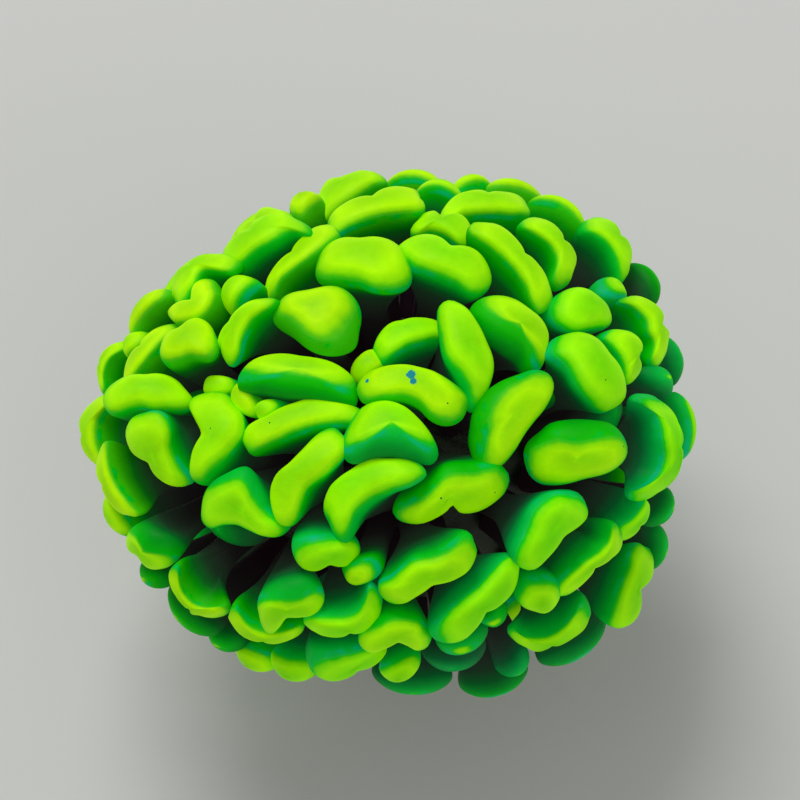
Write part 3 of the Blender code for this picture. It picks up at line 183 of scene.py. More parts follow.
LARGE_TENTACLES = (
    outlined("tentacle_01", 38, -50, 50, (
        (-9.5, 10.0), (-9.0, 10.6), (-8.2, 11.1), (-7.4, 11.8), (-6.5, 12.15), (-5.5, 12.2), (-4.7, 11.8),
        (-4.6, 11.2), (-5.5, 11.2), (-6.3, 10.6), (-7.3, 10.0), (-8.3, 9.3), (-9.2, 9.2))),
    outlined("tentacle_02", 40, -50, 55, (
        (-8.95, 10.9), (-8.5, 11.4), (-7.6, 12.0), (-7.0, 12.65), (-6.3, 12.75), (-5.6, 12.5), (-5.5, 11.9),
        (-6.6, 11.3), (-7.8, 10.7), (-8.6, 10.4)), drop=1.8),
    outlined("tentacle_03", 42, -42, 55, (
        (-12.35, 7.6), (-12.05, 8.7), (-11.3, 9.4), (-10.3, 9.8), (-9.3, 10.2), (-8.6, 9.9), (-9.0, 9.1),
        (-10.2, 8.95), (-10.8, 8.0), (-11.7, 7.1)), droop=0.7, drop=0.3),
    outlined("tentacle_04", 40, -45, 50, (
        (-12.45, 6.7), (-12.0, 6.25), (-11.2, 6.15), (-10.2, 6.6), (-9.6, 7.6), (-9.65, 8.4), (-10.2, 8.6),
        (-10.75, 8.3), (-11.0, 7.5), (-11.9, 7.15)), droop=0.1, drop=0.6),
    outlined("tentacle_07", 25, -60, 38, (
        (-12.8, 4.5), (-12.3, 5.4), (-11.3, 6.0), (-10.6, 6.4), (-10.0, 6.2), (-9.65, 5.5), (-9.6, 4.6),
        (-10.0, 4.1), (-10.9, 4.15), (-11.6, 3.9), (-12.4, 3.95)), droop=0.2),
    outlined("tentacle_08", 47, -40, 62, (
        (-15.1, 3.1), (-14.6, 4.1), (-13.8, 5.0), (-13.0, 5.9), (-12.3, 6.3), (-12.0, 6.0), (-12.6, 5.2),
        (-13.3, 4.3), (-14.1, 3.5), (-14.7, 2.9)), drop=0.9),
    outlined("tentacle_10", 66, -12, 68, (
        (-16.5, 2.2), (-16.45, 3.5), (-16.1, 4.5), (-15.5, 5.2), (-14.9, 5.25), (-15.1, 4.8), (-15.7, 4.1),
        (-16.0, 3.2), (-16.1, 2.3)), droop=0.8, drop=1.4),
    outlined("tentacle_11", -3, -80, 35, (
        (-15.95, 2.0), (-15.4, 2.9), (-14.0, 3.2), (-12.6, 3.15), (-11.5, 2.75), (-10.85, 2.0), (-11.4, 1.45),
        (-12.9, 1.3), (-13.9, 1.5), (-15.3, 1.25))),
    outlined("tentacle_12", 93, 0, 68, (
        (-16.35, -2.4), (-17.1, -1.4), (-17.4, 0.3), (-17.3, 1.4), (-16.8, 2.1), (-16.0, 2.15), (-16.0, 1.6),
        (-16.55, 0.7), (-16.5, -0.9), (-16.15, -2.1)), droop=0.8, drop=1.0),
    outlined("tentacle_13", -50, 40, 40, (
        (-14.75, -0.1), (-14.4, 0.6), (-13.6, 0.95), (-12.6, 0.85), (-12.1, 0.2), (-12.0, -0.8),
        (-11.5, -1.9), (-11.1, -2.8), (-11.7, -3.2), (-12.6, -2.6), (-13.4, -1.6), (-14.3, -0.95))),
    outlined("tentacle_14", -66, 12, 64, (
        (-16.3, -0.8), (-16.45, -1.7), (-16.1, -2.8), (-15.6, -3.8), (-15.0, -4.65), (-14.3, -4.75),
        (-14.6, -4.1), (-15.1, -3.1), (-15.5, -2.1), (-15.8, -1.1), (-16.0, -0.6)), drop=0.4),
    outlined("tentacle_16", 74, -30, 35, (
        (-11.1, 1.6), (-10.8, 2.1), (-9.7, 2.3), (-8.7, 1.9), (-8.1, 1.0), (-8.1, -0.1), (-8.8, -1.1),
        (-9.6, -2.1), (-10.3, -2.9), (-10.85, -2.5), (-10.75, -1.4), (-10.35, -0.1), (-10.7, 0.8)),
        droop=0.2, drop=0.4),
    outlined("tentacle_17", -25, 50, 32, (
        (-10.35, -4.2), (-10.2, -3.4), (-9.6, -2.6), (-8.7, -2.1), (-7.9, -1.95), (-7.4, -2.4), (-7.0, -3.2),
        (-6.5, -4.1), (-5.8, -4.8), (-5.4, -5.2), (-5.9, -5.7), (-6.7, -5.65), (-7.6, -5.35), (-8.4, -5.1),
        (-9.1, -5.1), (-9.8, -5.3), (-10.3, -4.9)), droop=0.2, drop=0.5, bare=((-95, 0.45), (35, 0.35))),
    outlined("tentacle_18", -30, 40, 50, (
        (-14.85, -6.2), (-14.6, -5.5), (-14.0, -5.25), (-13.2, -5.3), (-12.4, -5.8), (-12.0, -6.4),
        (-11.9, -7.1), (-12.3, -7.55), (-13.0, -7.65), (-13.6, -7.3), (-14.1, -6.9), (-14.6, -6.65)),
        drop=0.4, bare=((45, 1.2),)),
    outlined("tentacle_20", -38, 66, 66, (
        (-12.35, -8.0), (-11.9, -7.9), (-11.6, -8.7), (-10.9, -9.4), (-10.0, -9.7), (-9.1, -9.65),
        (-8.85, -10.0), (-9.2, -10.4), (-10.0, -10.45), (-10.9, -10.0), (-11.7, -9.2), (-12.2, -8.5)),
        drop=0.8),
    outlined("tentacle_22", -14, 82, 66, (
        (-8.9, -10.3), (-8.5, -10.2), (-7.9, -10.7), (-7.1, -11.0), (-6.0, -11.1), (-5.0, -10.9),
        (-4.7, -11.1), (-5.0, -11.55), (-5.9, -11.7), (-7.0, -11.6), (-8.2, -11.3), (-8.8, -10.8)), drop=1.2),
    outlined("tentacle_23", 26, 88, 42, (
        (-7.2, -10.0), (-7.1, -9.2), (-6.4, -8.4), (-5.4, -8.1), (-4.4, -8.2), (-3.65, -8.7), (-3.5, -9.3),
        (-3.9, -9.85), (-4.8, -10.05), (-5.6, -10.3), (-6.0, -10.8), (-6.4, -11.25), (-6.9, -11.05)),
        droop=0.2, bare=((95, 0.7),)),
    outlined("tentacle_27", 16, 120, 58, (
        (-4.25, -13.1), (-4.0, -12.4), (-3.2, -12.1), (-2.3, -11.9), (-1.3, -11.8), (-0.3, -11.9),
        (0.15, -12.3), (-0.3, -12.8), (-1.3, -13.2), (-2.4, -13.6), (-3.4, -13.85), (-4.1, -13.6)),
        drop=1.8, bare=((120, 0.3),)),
    outlined("tentacle_28", 22, 105, 56, (
        (-4.5, -11.0), (-4.1, -10.5), (-3.4, -10.3), (-2.4, -10.15), (-1.6, -9.8), (-1.1, -9.3),
        (-0.8, -8.85), (-0.35, -9.2), (-0.25, -9.9), (-0.6, -10.5), (-1.5, -10.95), (-2.7, -11.25),
        (-3.8, -11.4)), droop=0.8, drop=0.9),
    outlined("tentacle_29", -4, 98, 44, (
        (-1.6, -11.6), (-1.3, -11.0), (-0.5, -10.4), (0.3, -10.0), (1.2, -10.1), (2.0, -10.6), (2.4, -11.4),
        (2.3, -12.0), (1.7, -12.15), (1.2, -11.8), (0.5, -11.65), (-0.3, -11.9), (-0.9, -12.2),
        (-1.4, -12.05)), droop=0.2, drop=1.0, bare=((100, 0.3),)),
    outlined("tentacle_32", -3, 105, 36, (
        (-5.25, -6.7), (-5.0, -6.1), (-4.2, -5.75), (-3.2, -5.7), (-2.3, -5.85), (-1.6, -6.2), (-1.45, -6.7),
        (-1.8, -7.25), (-2.5, -7.4), (-3.3, -7.3), (-4.1, -7.55),
        (-4.8, -7.4)), drop=0.5, bare=((100, 0.2),)), outlined("tentacle_34", 28, 108, 36, (
        (-0.4, -9.2), (-0.3, -8.6), (0.4, -8.1), (0.9, -7.4), (1.5, -6.9), (2.5, -6.7), (3.4, -6.3),
        (4.1, -5.9), (4.75, -6.0), (4.95, -6.7), (4.5, -7.5), (3.6, -8.0), (2.6, -8.35), (1.9, -8.8),
        (1.0, -9.4), (0.2, -9.65)), drop=0.2, bare=((110, 0.15),)),
    outlined("tentacle_35", 43, 130, 48, (
        (2.55, -11.5), (2.9, -10.8), (3.5, -10.0), (4.2, -9.3), (5.1, -8.6), (6.0, -7.8), (6.7, -7.2),
        (7.3, -7.1), (7.45, -7.8), (7.0, -8.7), (6.2, -9.4), (5.3, -10.1), (4.7, -10.9), (4.1, -11.6),
        (3.2, -11.9)), drop=0.6),
    outlined("tentacle_38", -15, 98, 38, (
        (6.95, -8.9), (7.3, -8.2), (7.8, -7.9), (8.6, -7.85), (9.3, -8.2), (9.65, -8.9), (9.45, -9.7),
        (8.9, -10.15), (8.2, -10.0), (7.4, -9.5)), droop=0.3, drop=1.1, bare=((110, 0.4), (200, 0.3))),
    outlined("tentacle_39", 52, 158, 42, (
        (7.15, -6.9), (7.35, -5.9), (7.6, -5.0), (7.9, -4.2), (8.5, -3.6), (9.4, -3.3), (10.3, -3.3),
        (10.9, -3.8), (11.15, -4.5), (10.8, -5.0), (10.0, -5.6), (9.3, -6.3), (8.6, -7.0), (8.0, -7.55),
        (7.4, -7.4)), droop=0.2, bare=((130, 0.2),)),
    outlined("tentacle_40", 49, 140, 56, (
        (9.6, -9.3), (9.8, -8.5), (10.3, -7.8), (11.0, -7.1), (11.8, -6.6), (12.4, -6.1), (12.8, -5.3),
        (13.2, -5.6), (13.15, -6.3), (12.4, -7.0), (11.6, -7.5), (10.9, -8.3), (10.3, -9.1), (9.9, -9.45)),
        drop=0.8),
    outlined("tentacle_41", 50, 146, 62, (
        (12.9, -6.1), (13.0, -5.3), (13.5, -4.8), (14.2, -4.2), (14.7, -3.9), (14.95, -4.2), (14.5, -4.9),
        (13.9, -5.5), (13.3, -6.2)), drop=1.4),
    outlined("tentacle_42", 66, 162, 56, (
        (12.7, -10.9), (12.8, -10.0), (13.0, -9.2), (13.3, -8.4), (13.6, -7.7), (13.8, -6.9), (14.2, -6.4),
        (14.7, -6.5), (15.05, -7.1), (15.0, -7.9), (14.5, -8.7), (14.2, -9.4), (14.15, -10.3), (13.8, -10.95),
        (13.2, -11.15)), droop=0.2, drop=1.4),
    outlined("tentacle_45", 17, 98, 62, (
        (6.65, -11.5), (6.9, -11.1), (7.4, -11.4), (8.2, -11.5), (9.0, -11.3), (9.8, -10.9), (10.4, -10.4),
        (10.9, -9.9), (11.35, -10.3), (11.2, -11.0), (10.4, -11.5), (9.4, -11.95), (8.3, -12.2),
        (7.3, -12.05)), droop=0.6, drop=2.0),
    outlined("tentacle_49", 90, 180, 70, (
        (14.4, 1.9), (15.0, 2.3), (15.7, 2.0), (16.15, 1.2), (16.4, 0.0), (16.4, -1.3), (16.2, -2.6),
        (15.6, -3.7), (14.7, -3.85), (14.2, -3.4), (14.9, -3.1), (15.5, -2.4), (15.55, -1.5), (15.3, -0.3),
        (15.2, 0.9), (14.9, 1.6)), droop=1.2),
    outlined("tentacle_53", -62, 200, 58, (
        (13.6, 7.6), (14.1, 7.85), (14.8, 7.5), (15.4, 6.9), (15.5, 6.3), (15.75, 5.7), (16.0, 4.9),
        (15.9, 4.1), (15.4, 3.75), (14.95, 4.1), (15.0, 4.9), (14.65, 5.6), (14.5, 6.4), (14.1, 7.1)),
        droop=0.8, drop=0.5),
    outlined("tentacle_55", -64, 190, 50, (
        (12.4, 5.4), (12.9, 5.8), (13.5, 5.75), (14.1, 5.1), (14.15, 4.5), (13.95, 4.05), (14.25, 3.5),
        (13.95, 2.85), (13.4, 2.8), (13.15, 3.5), (12.9, 4.2), (12.6, 4.8)), drop=0.6),
    outlined("tentacle_57", -52, 222, 58, (
        (11.15, 11.6), (11.5, 12.3), (12.2, 12.45), (12.8, 11.9), (13.4, 11.1), (13.9, 10.2), (13.95, 9.3),
        (13.5, 8.9), (13.1, 9.4), (12.5, 10.3), (11.8, 11.0)), droop=0.6, drop=0.5),
    outlined("tentacle_59", -47, 220, 42, (
        (8.9, 4.4), (9.0, 5.0), (9.6, 5.5), (10.4, 5.65), (11.2, 5.4), (12.0, 4.8), (12.7, 3.9), (13.2, 2.9),
        (13.35, 2.1), (12.9, 1.45), (12.1, 1.4), (11.2, 1.9), (10.4, 2.6), (9.9, 3.4), (9.3, 4.0))),
    outlined("tentacle_60", -14, 215, 42, (
        (9.1, 6.9), (9.4, 7.6), (10.1, 8.0), (10.9, 8.0), (11.8, 7.6), (12.5, 7.0), (12.7, 6.3), (12.2, 5.9),
        (11.4, 5.75), (10.4, 5.6), (9.5, 6.1)), droop=0.4, drop=0.8),
    outlined("tentacle_61", -62, 215, 48, (
        (7.5, 11.7), (8.1, 12.3), (8.8, 12.05), (9.6, 11.3), (10.3, 10.3), (10.6, 9.4), (10.4, 8.6),
        (9.8, 8.2), (9.3, 8.6), (9.35, 9.6), (9.0, 10.4), (8.3, 11.0)), drop=0.8),
    outlined("tentacle_62", -48, 225, 45, (
        (4.8, 11.4), (5.1, 11.9), (5.9, 11.85), (6.7, 11.2), (7.6, 10.1), (8.5, 9.1), (9.2, 8.1), (9.3, 7.2),
        (8.7, 6.8), (8.15, 7.3), (7.6, 8.4), (6.8, 9.4), (5.8, 10.5)), drop=0.1),
    outlined("tentacle_63", -24, 255, 42, (
        (0.7, 10.3), (1.1, 11.0), (1.9, 11.15), (2.8, 10.85), (3.7, 10.35), (4.8, 10.1), (5.6, 9.5),
        (5.85, 8.8), (5.4, 8.1), (4.6, 7.85), (3.7, 8.3), (2.4, 8.75), (1.2, 9.3))),
    outlined("tentacle_64", -4, 282, 40, (
        (-4.15, 9.5), (-3.9, 10.2), (-3.0, 10.7), (-1.9, 10.85), (-0.7, 10.75), (0.4, 10.5), (1.1, 9.9),
        (1.3, 9.2), (1.0, 8.4), (0.2, 7.9), (-0.8, 7.85), (-1.8, 8.2), (-3.2, 8.4), (-3.9, 8.8)),
        bare=((-90, 0.3),)),
    outlined("tentacle_65", -10, 290, 32, (
        (-6.5, 6.6), (-6.0, 7.5), (-5.0, 7.85), (-3.7, 8.0), (-2.6, 7.95), (-1.9, 7.4), (-1.55, 6.5),
        (-1.65, 5.6), (-2.1, 4.9), (-2.9, 4.45), (-3.8, 4.4), (-4.6, 4.75), (-5.4, 5.5), (-6.2, 6.1)),
        bare=((-30, 0.6), (225, 0.55))),
    outlined("tentacle_66", 52, -12, 42, (
        (-9.55, 4.9), (-9.0, 6.0), (-8.1, 7.0), (-7.2, 7.5), (-6.6, 7.5), (-6.7, 7.0), (-7.5, 6.3),
        (-8.0, 5.2), (-8.3, 4.2), (-9.0, 3.75)), drop=0.4),
    outlined("tentacle_67", 48, -45, 50, (
        (-7.05, 8.0), (-6.6, 8.9), (-5.6, 9.9), (-4.8, 10.8), (-4.1, 11.6), (-3.4, 11.9), (-3.0, 11.3),
        (-3.5, 10.5), (-4.2, 9.7), (-5.2, 8.9), (-6.1, 8.2), (-6.6, 7.6)), drop=1.0),
    outlined("tentacle_68", 18, -85, 50, (
        (-3.5, 11.6), (-3.2, 12.3), (-2.3, 12.85), (-1.2, 13.2), (-0.2, 13.65), (0.8, 13.9), (1.6, 13.8),
        (2.05, 13.2), (1.6, 12.65), (0.4, 12.3), (-0.9, 11.9), (-2.2, 11.5), (-3.1, 11.2)), drop=0.6),
    outlined("tentacle_69", 32, -62, 60, (
        (-4.45, 12.6), (-4.1, 13.3), (-3.6, 14.1), (-2.8, 14.5), (-2.0, 14.6), (-1.3, 14.9), (-0.6, 14.85),
        (-0.2, 14.5), (-0.9, 14.0), (-1.8, 13.3), (-2.8, 12.7), (-3.9, 12.15)), drop=1.9),
    outlined("tentacle_73", -2, -98, 58, (
        (3.05, 12.5), (3.4, 13.15), (4.2, 13.5), (5.3, 13.6), (6.5, 13.5), (7.4, 13.5), (8.0, 13.1),
        (8.0, 12.6), (7.0, 12.4), (5.6, 12.4), (4.3, 12.4), (3.4, 12.1)), drop=0.9),
    outlined("tentacle_74", -14, -92, 48, (
        (1.35, 11.6), (1.65, 12.25), (2.2, 12.45), (2.8, 12.2), (3.4, 12.1), (4.2, 12.15), (4.7, 11.7),
        (4.65, 11.0), (4.1, 10.7), (3.4, 11.0), (2.4, 11.35), (1.7, 11.25)), drop=1.4),
    outlined("tentacle_77", 24, -80, 38, (
        (-0.9, 4.5), (-0.7, 5.2), (0.0, 5.9), (0.9, 6.25), (1.9, 6.35), (2.9, 6.35), (3.0, 5.6), (2.2, 5.2),
        (1.2, 4.8), (0.4, 4.3), (-0.2, 3.95), (-0.7, 4.0)), drop=1.8),
    outlined("tentacle_78", -78, 215, 24, (
        (2.9, 6.5), (3.1, 7.1), (3.7, 7.35), (4.4, 7.1), (4.9, 6.3), (5.4, 5.2), (5.8, 4.0), (5.8, 3.0),
        (5.5, 2.0), (5.0, 1.4), (4.5, 1.5), (4.2, 2.3), (3.7, 3.2), (3.1, 4.1), (2.9, 5.2)),
        bare=((215, 0.2),)),
    outlined("tentacle_79", -45, 225, 32, (
        (4.7, 6.8), (5.0, 7.4), (5.7, 7.75), (6.6, 7.6), (7.6, 7.0), (8.5, 6.2), (9.0, 5.2), (8.9, 4.2),
        (8.4, 3.5), (7.7, 3.4), (7.2, 3.9), (6.4, 4.4), (5.5, 5.1), (4.95, 6.0)), droop=0.5, drop=0.3,
        bare=((225, 1.3),)),
    outlined("tentacle_80", -7, -88, 33, (
        (-8.4, 2.8), (-8.2, 3.5), (-7.5, 4.0), (-6.4, 4.25), (-5.2, 4.3), (-4.0, 4.1), (-2.9, 3.85),
        (-2.1, 3.3), (-1.65, 2.6), (-1.75, 1.9), (-2.4, 1.8), (-3.4, 1.9), (-4.6, 2.0), (-5.8, 2.05),
        (-7.0, 2.3), (-7.9, 2.5)), drop=0.6, bare=((-90, 0.95),)),
    outlined("tentacle_81", -14, -100, 22, (
        (-1.75, 2.4), (-1.5, 3.0), (-0.8, 3.5), (0.2, 3.7), (1.4, 3.7), (2.5, 3.4), (3.6, 2.8), (4.4, 2.0),
        (4.4, 1.1), (3.8, 0.6), (3.0, 0.5), (2.3, 0.8), (1.7, 1.4), (0.9, 1.75), (-0.2, 1.75), (-1.3, 1.7)),
        drop=0.4, bare=((-110, 0.35),)),
    outlined("tentacle_82", 17, -70, 30, (
        (-8.1, -0.3), (-7.8, 0.4), (-7.0, 0.8), (-6.0, 1.3), (-5.0, 1.7), (-3.9, 1.85), (-2.8, 1.8),
        (-1.8, 1.5), (-1.2, 0.9), (-1.6, 0.5), (-2.8, 0.4), (-4.2, 0.1), (-5.6, -0.35), (-6.9, -0.8),
        (-7.7, -1.0)), drop=1.1),
    outlined("tentacle_83", -6, -90, 25, (
        (-2.45, -0.4), (-2.3, 0.5), (-1.7, 1.2), (-0.8, 1.6), (0.1, 1.7), (1.0, 1.4), (1.8, 0.7), (2.5, -0.1),
        (2.75, -0.9), (2.3, -1.5), (1.4, -1.45), (0.3, -1.3), (-0.8, -1.35), (-1.8, -1.6), (-2.35, -1.2)),
        bare=((-90, 1.15),)),
    outlined("tentacle_84", 54, -30, 30, (
        (-3.8, 0.0), (-3.1, 0.3), (-2.5, 0.0), (-2.35, -0.8), (-2.8, -1.6), (-3.6, -2.4), (-4.4, -3.0),
        (-4.8, -3.9), (-5.15, -4.7), (-5.7, -5.05), (-6.3, -4.7), (-6.55, -3.7), (-6.25, -2.6), (-5.5, -1.7),
        (-4.6, -0.9)), drop=0.5),
    outlined("tentacle_85", 40, -42, 32, (
        (1.9, -2.1), (1.4, -1.45), (0.4, -1.35), (-0.8, -1.5), (-2.0, -2.0), (-2.9, -2.8), (-3.45, -3.8),
        (-3.5, -4.9), (-3.0, -5.7), (-2.4, -5.85), (-1.95, -5.3), (-1.6, -4.5), (-0.9, -3.8), (0.1, -3.25),
        (1.2, -2.8)), drop=0.5, bare=((130, 0.25),)),
    outlined("tentacle_86", 20, 115, 34, (
        (0.35, -4.5), (0.7, -3.95), (1.5, -3.4), (2.2, -2.7), (2.8, -2.0), (3.6, -1.7), (4.6, -1.75),
        (5.6, -1.7), (6.3, -1.8), (6.65, -2.4), (6.4, -3.2), (5.7, -3.85), (4.9, -4.3), (4.0, -4.4),
        (3.5, -4.0), (3.0, -4.4), (2.0, -4.9), (1.2, -5.05), (0.6, -4.9)), droop=0.2, drop=1.1,
        bare=((120, 0.6),)),
    outlined("tentacle_87", 52, 160, 20, (
        (4.55, -0.9), (4.7, 0.2), (4.8, 1.1), (5.3, 2.1), (6.2, 2.8), (7.3, 3.2), (8.3, 3.5), (9.0, 3.2),
        (9.2, 2.5), (8.8, 1.5), (8.1, 0.6), (7.4, -0.3), (6.8, -1.2), (6.1, -1.9), (5.4, -2.1), (4.8, -1.7)),
        droop=0.3, drop=0.2, bare=((150, 0.75), (-35, 0.2))),
    outlined("tentacle_88", 6, 98, 22, (
        (7.45, -1.6), (7.8, -0.8), (8.4, -0.1), (9.0, 0.5), (10.1, 0.7), (11.3, 0.6), (12.4, 0.35),
        (13.1, -0.2), (13.35, -0.9), (13.1, -1.6), (12.3, -2.15), (11.0, -2.5), (9.7, -2.8), (8.5, -2.85),
        (7.7, -2.4)), droop=0.3, bare=((98, 0.9), (-75, 0.2))),
)

# Rows with a last number for shade have their pigment drawn back as painted shade; the six deep ones are
# drawn dark to fill the gaps.
SMALL_TENTACLES = (
    Tentacle("small_05", -13.7, 6.8, 50, 3.4, 1.4, drop=1.2),
    Tentacle("small_06", -8.3, 7.8, 50, 2.4, 2.0, drop=0.9),
    Tentacle("small_09", -14.3, 4.9, 50, 1.6, 1.4, drop=2.0),
    Tentacle("small_15", -15.4, -4.6, -55, 2.8, 1.3, drop=1.8),
    Tentacle("small_19", -13.3, -8.0, -30, 2.0, 1.3, drop=1.6, fade=1.2),
    Tentacle("small_21", -11.3, -10.3, -42, 3.6, 1.4, drop=2.4, fade=1.2),
    Tentacle("small_24", -9.4, -11.7, -30, 2.2, 1.2, drop=2.6, fade=1.2),
    Tentacle("small_25", -7.6, -12.8, -18, 2.6, 1.3, drop=2.0),
    Tentacle("small_26", -5.4, -13.2, -10, 2.6, 1.6, drop=1.8),
    Tentacle("small_30", 0.6, -13.4, 20, 2.2, 1.3, drop=2.8),
    Tentacle("small_31", 1.3, -14.2, -5, 4.6, 1.5, drop=4.2, fade=1.4),
    Tentacle("small_33", -1.5, -7.6, 15, 2.2, 1.6, drop=1.1, fade=0.5),
    Tentacle("small_36", 5.9, -10.2, 40, 1.8, 1.3, drop=2.4, fade=1.0),
    Tentacle("small_37", 4.2, -11.7, 20, 3.0, 1.4, drop=2.4, fade=1.0),
    Tentacle("small_43", 15.3, -6.8, 80, 2.8, 1.3, drop=2.8, fade=1.2),
    Tentacle("small_44", 15.6, -4.3, 62, 2.4, 1.2, drop=2.6, fade=1.2),
    Tentacle("small_46", 10.8, -12.2, 25, 4.4, 1.5, drop=3.6, fade=1.3),
    Tentacle("small_47", 7.2, -13.3, 50, 2.0, 1.3, drop=3.2, fade=1.2),
    Tentacle("small_48", 6.2, -14.4, 20, 4.0, 1.5, drop=4.4, fade=1.3),
    Tentacle("small_50", 16.9, 0.4, 94, 4.0, 1.4, drop=2.6, fade=0.5),
    Tentacle("small_52", 15.4, 2.9, -20, 2.4, 1.4, drop=2.6, fade=1.2),
    Tentacle("small_54", 16.2, 4.3, -75, 3.0, 1.3, drop=2.6, fade=1.2),
    Tentacle("small_56", 12.6, 7.85, 0, 1.9, 1.8, drop=2.0, fade=0.5),
    Tentacle("small_58", 14.8, 8.7, -60, 2.8, 1.3, drop=2.2, fade=1.2),
    Tentacle("small_70", 1.4, 14.4, -3, 3.4, 1.4, drop=2.8),
    Tentacle("small_71", -4.7, 12.9, 45, 1.8, 1.6, drop=1.8),
    Tentacle("small_72", 2.9, 13.8, -8, 2.7, 1.3, drop=2.2),
    Tentacle("small_75", 9.9, 12.7, -30, 3.6, 1.5, drop=1.6),
    Tentacle("small_76", 7.5, 13.8, -8, 3.4, 1.4, drop=2.6),
    Tentacle("small_93", 5.0, 14.2, 0, 2.3, 1.3, drop=3.0),
    Tentacle("small_89", -8.0, 1.9, -55, 2.0, 1.3, drop=1.4),
    Tentacle("small_90", -6.8, 1.3, 35, 1.4, 1.0, drop=1.1),
    Tentacle("small_91", -9.6, 2.6, 0, 1.9, 1.2, drop=2.4),
    Tentacle("small_92", -1.1, 3.7, 45, 2.3, 1.5, drop=2.2),
    Tentacle("deep_94", -11.2, 1.0, 40, 3.4, 1.8, drop=4.2, fade=1.9),
    Tentacle("deep_95", -8.8, -5.2, -20, 3.6, 1.9, drop=4.4, fade=1.9),
    Tentacle("deep_96", 12.2, 1.0, 60, 3.4, 1.8, drop=4.0, fade=1.9),
    Tentacle("deep_97", 3.8, -12.6, 10, 3.6, 1.8, drop=4.2, fade=1.9),
    Tentacle("deep_98", 9.2, 2.6, 40, 3.4, 1.9, drop=4.6, fade=1.9),
    Tentacle("deep_99", -2.4, -8.6, 15, 3.6, 1.9, drop=4.6, fade=1.9),
)
print("rows:", len(LARGE_TENTACLES), "large and", len(SMALL_TENTACLES), "small tentacles")

# %% [markdown]
# ## Where a tentacle stands
#
# A tentacle follows a smooth curve with three control points: its root on the disc, an elbow, and
# the middle of its tip. The elbow lies straight behind the tip, half way back to the disc, so the
# last stretch of the stalk meets the tip squarely, as it does on the living head.

# %% Root, elbow and tip
ELBOW_SHARE = 0.5
CROWN_RISE = 0.46
STEEPEST_SLANT = 0.7
FACING_LIMIT = 0.35


def unit(vectors):
    """Vectors at a length of one: each divided by its own length."""
    return vectors / np.linalg.norm(vectors, axis=-1, keepdims=True)


def in_view(degrees):
    """A direction in the view: cosine of the angle to the right plus its sine upwards."""
    angle = math.radians(degrees)
    return math.cos(angle) * RIGHT + math.sin(angle) * UP


def head_height(right, up):
    """How far towards the viewer the head's surface is: the nearer root of the quadratic for where
    a line of sight crosses the flattened ball, or the place where it passes nearest."""
    across = (right * RIGHT + up * UP) / HEAD_HALF
    along = TOWARDS / HEAD_HALF
    a, b, c = along @ along, across @ along, across @ across - 1.0
    return (-b + math.sqrt(max(0.0, b * b - a * c))) / a


def stand(tip, face, long_axis, sink):
    """Root, elbow, tip and long axis. The elbow is the tip less its facing direction times a share
    of the free way to the disc, and the root is where the disc's dome looks to the elbow, sunk
    into the dome by the given depth."""
    reach = tip - DISC_CENTRE
    clear = np.linalg.norm(reach) * (1.0 - 1.0 / np.linalg.norm(reach / DISC_HALF))
    elbow = tip - face * clear * ELBOW_SHARE
    root = DISC_CENTRE + DISC_HALF * unit((elbow - DISC_CENTRE) / DISC_HALF)
    root = root - sink * unit((root - DISC_CENTRE) / DISC_HALF**2)
    return root, elbow, tip, unit(long_axis - face * (long_axis @ face))


def stand_in_view(form, sink):
    """Where a tentacle of the view stands, and its tip's true length: the seen length times the
    root of one plus the square of how steeply its long axis runs towards the viewer. Without a
    stalk direction and a tilt of its own, a tip faces away from the middle of the spread."""
    right, up = form.right * MM, form.up * MM
    height = head_height(right, up) - (form.drop + CROWN_RISE * form.width) * MM
    tip = HEAD_CENTRE + right * RIGHT + up * UP + height * TOWARDS
    face = unit(tip - SPREAD_CENTRE)
    if form.stalk is not None:
        tilt = math.radians(form.tilt)
        face = math.cos(tilt) * TOWARDS - math.sin(tilt) * in_view(form.stalk)
    seen = in_view(form.turn)
    slant = -(face @ seen) / max(face @ TOWARDS, FACING_LIMIT)
    slant = min(max(slant, -STEEPEST_SLANT), STEEPEST_SLANT)
    length = form.length * math.sqrt(1.0 + slant * slant)
    return stand(tip, face, seen + slant * TOWARDS, sink), length


first_stand, _ = stand_in_view(LARGE_TENTACLES[0], 0.0)
print("first root, elbow and tip, mm:", np.round(np.array(first_stand[:3]) / MM, 1))

# %% [markdown]
# ## The form of a tentacle
#
# A surface here is a function of two parameters. The level runs from -1 at the root through 0 at the
# widest ring of the tip to 1 at the middle of its crown, and the other runs round it. Below level 0
# the ring narrows to an oval neck. Above it the ring shrinks towards the tip's middle line while it
# rises, like a pillow. The flesh isn't perfectly even, so a few slow waves swell and thin it.

# %% Sections of a tentacle
NECK_HALF_LONG = 0.85 * MM
NECK_HALF_WIDE = 0.62 * MM
FLARE_LONG = 4.2 * MM
FLARE_WIDE = 2.4 * MM
SECTION_POWER = 2.5
CROWN_POWER = 2.6
LEVELS_CROWD = 1.5
STEEPEST_RING = 1.5
LEAST_DRAWN = 0.3
WAIST = 0.07
WAIST_DEPTH = 0.9 * MM
WAIST_HALF = 0.5 * WAIST_DEPTH
UNEVEN = 0.02


def fall(distance):
    """One at zero, nothing at one, level at both: 1 - 3x² + 2x³."""
    x = np.clip(distance, 0.0, 1.0)
    return 1.0 - 3.0 * x**2 + 2.0 * x**3


def tentacle_levels(below, above):
    """Levels from root to crown. Below the tip they crowd towards it as a power of an even row, and
    above it they follow one minus a power of the cosine, so that the pillow's edge is round."""
    stalk = -((1.0 - np.arange(below) / below) ** LEVELS_CROWD)
    turn = np.linspace(0.0, math.pi / 2, above)
    return np.concatenate((stalk, 1.0 - np.cos(turn) ** (2.0 / CROWN_POWER)))


def section_power(values, power):
    """A signed power, |v| to the p with the sign of v, which fills out an oval's corners."""
    return np.sign(values) * np.abs(values) ** power


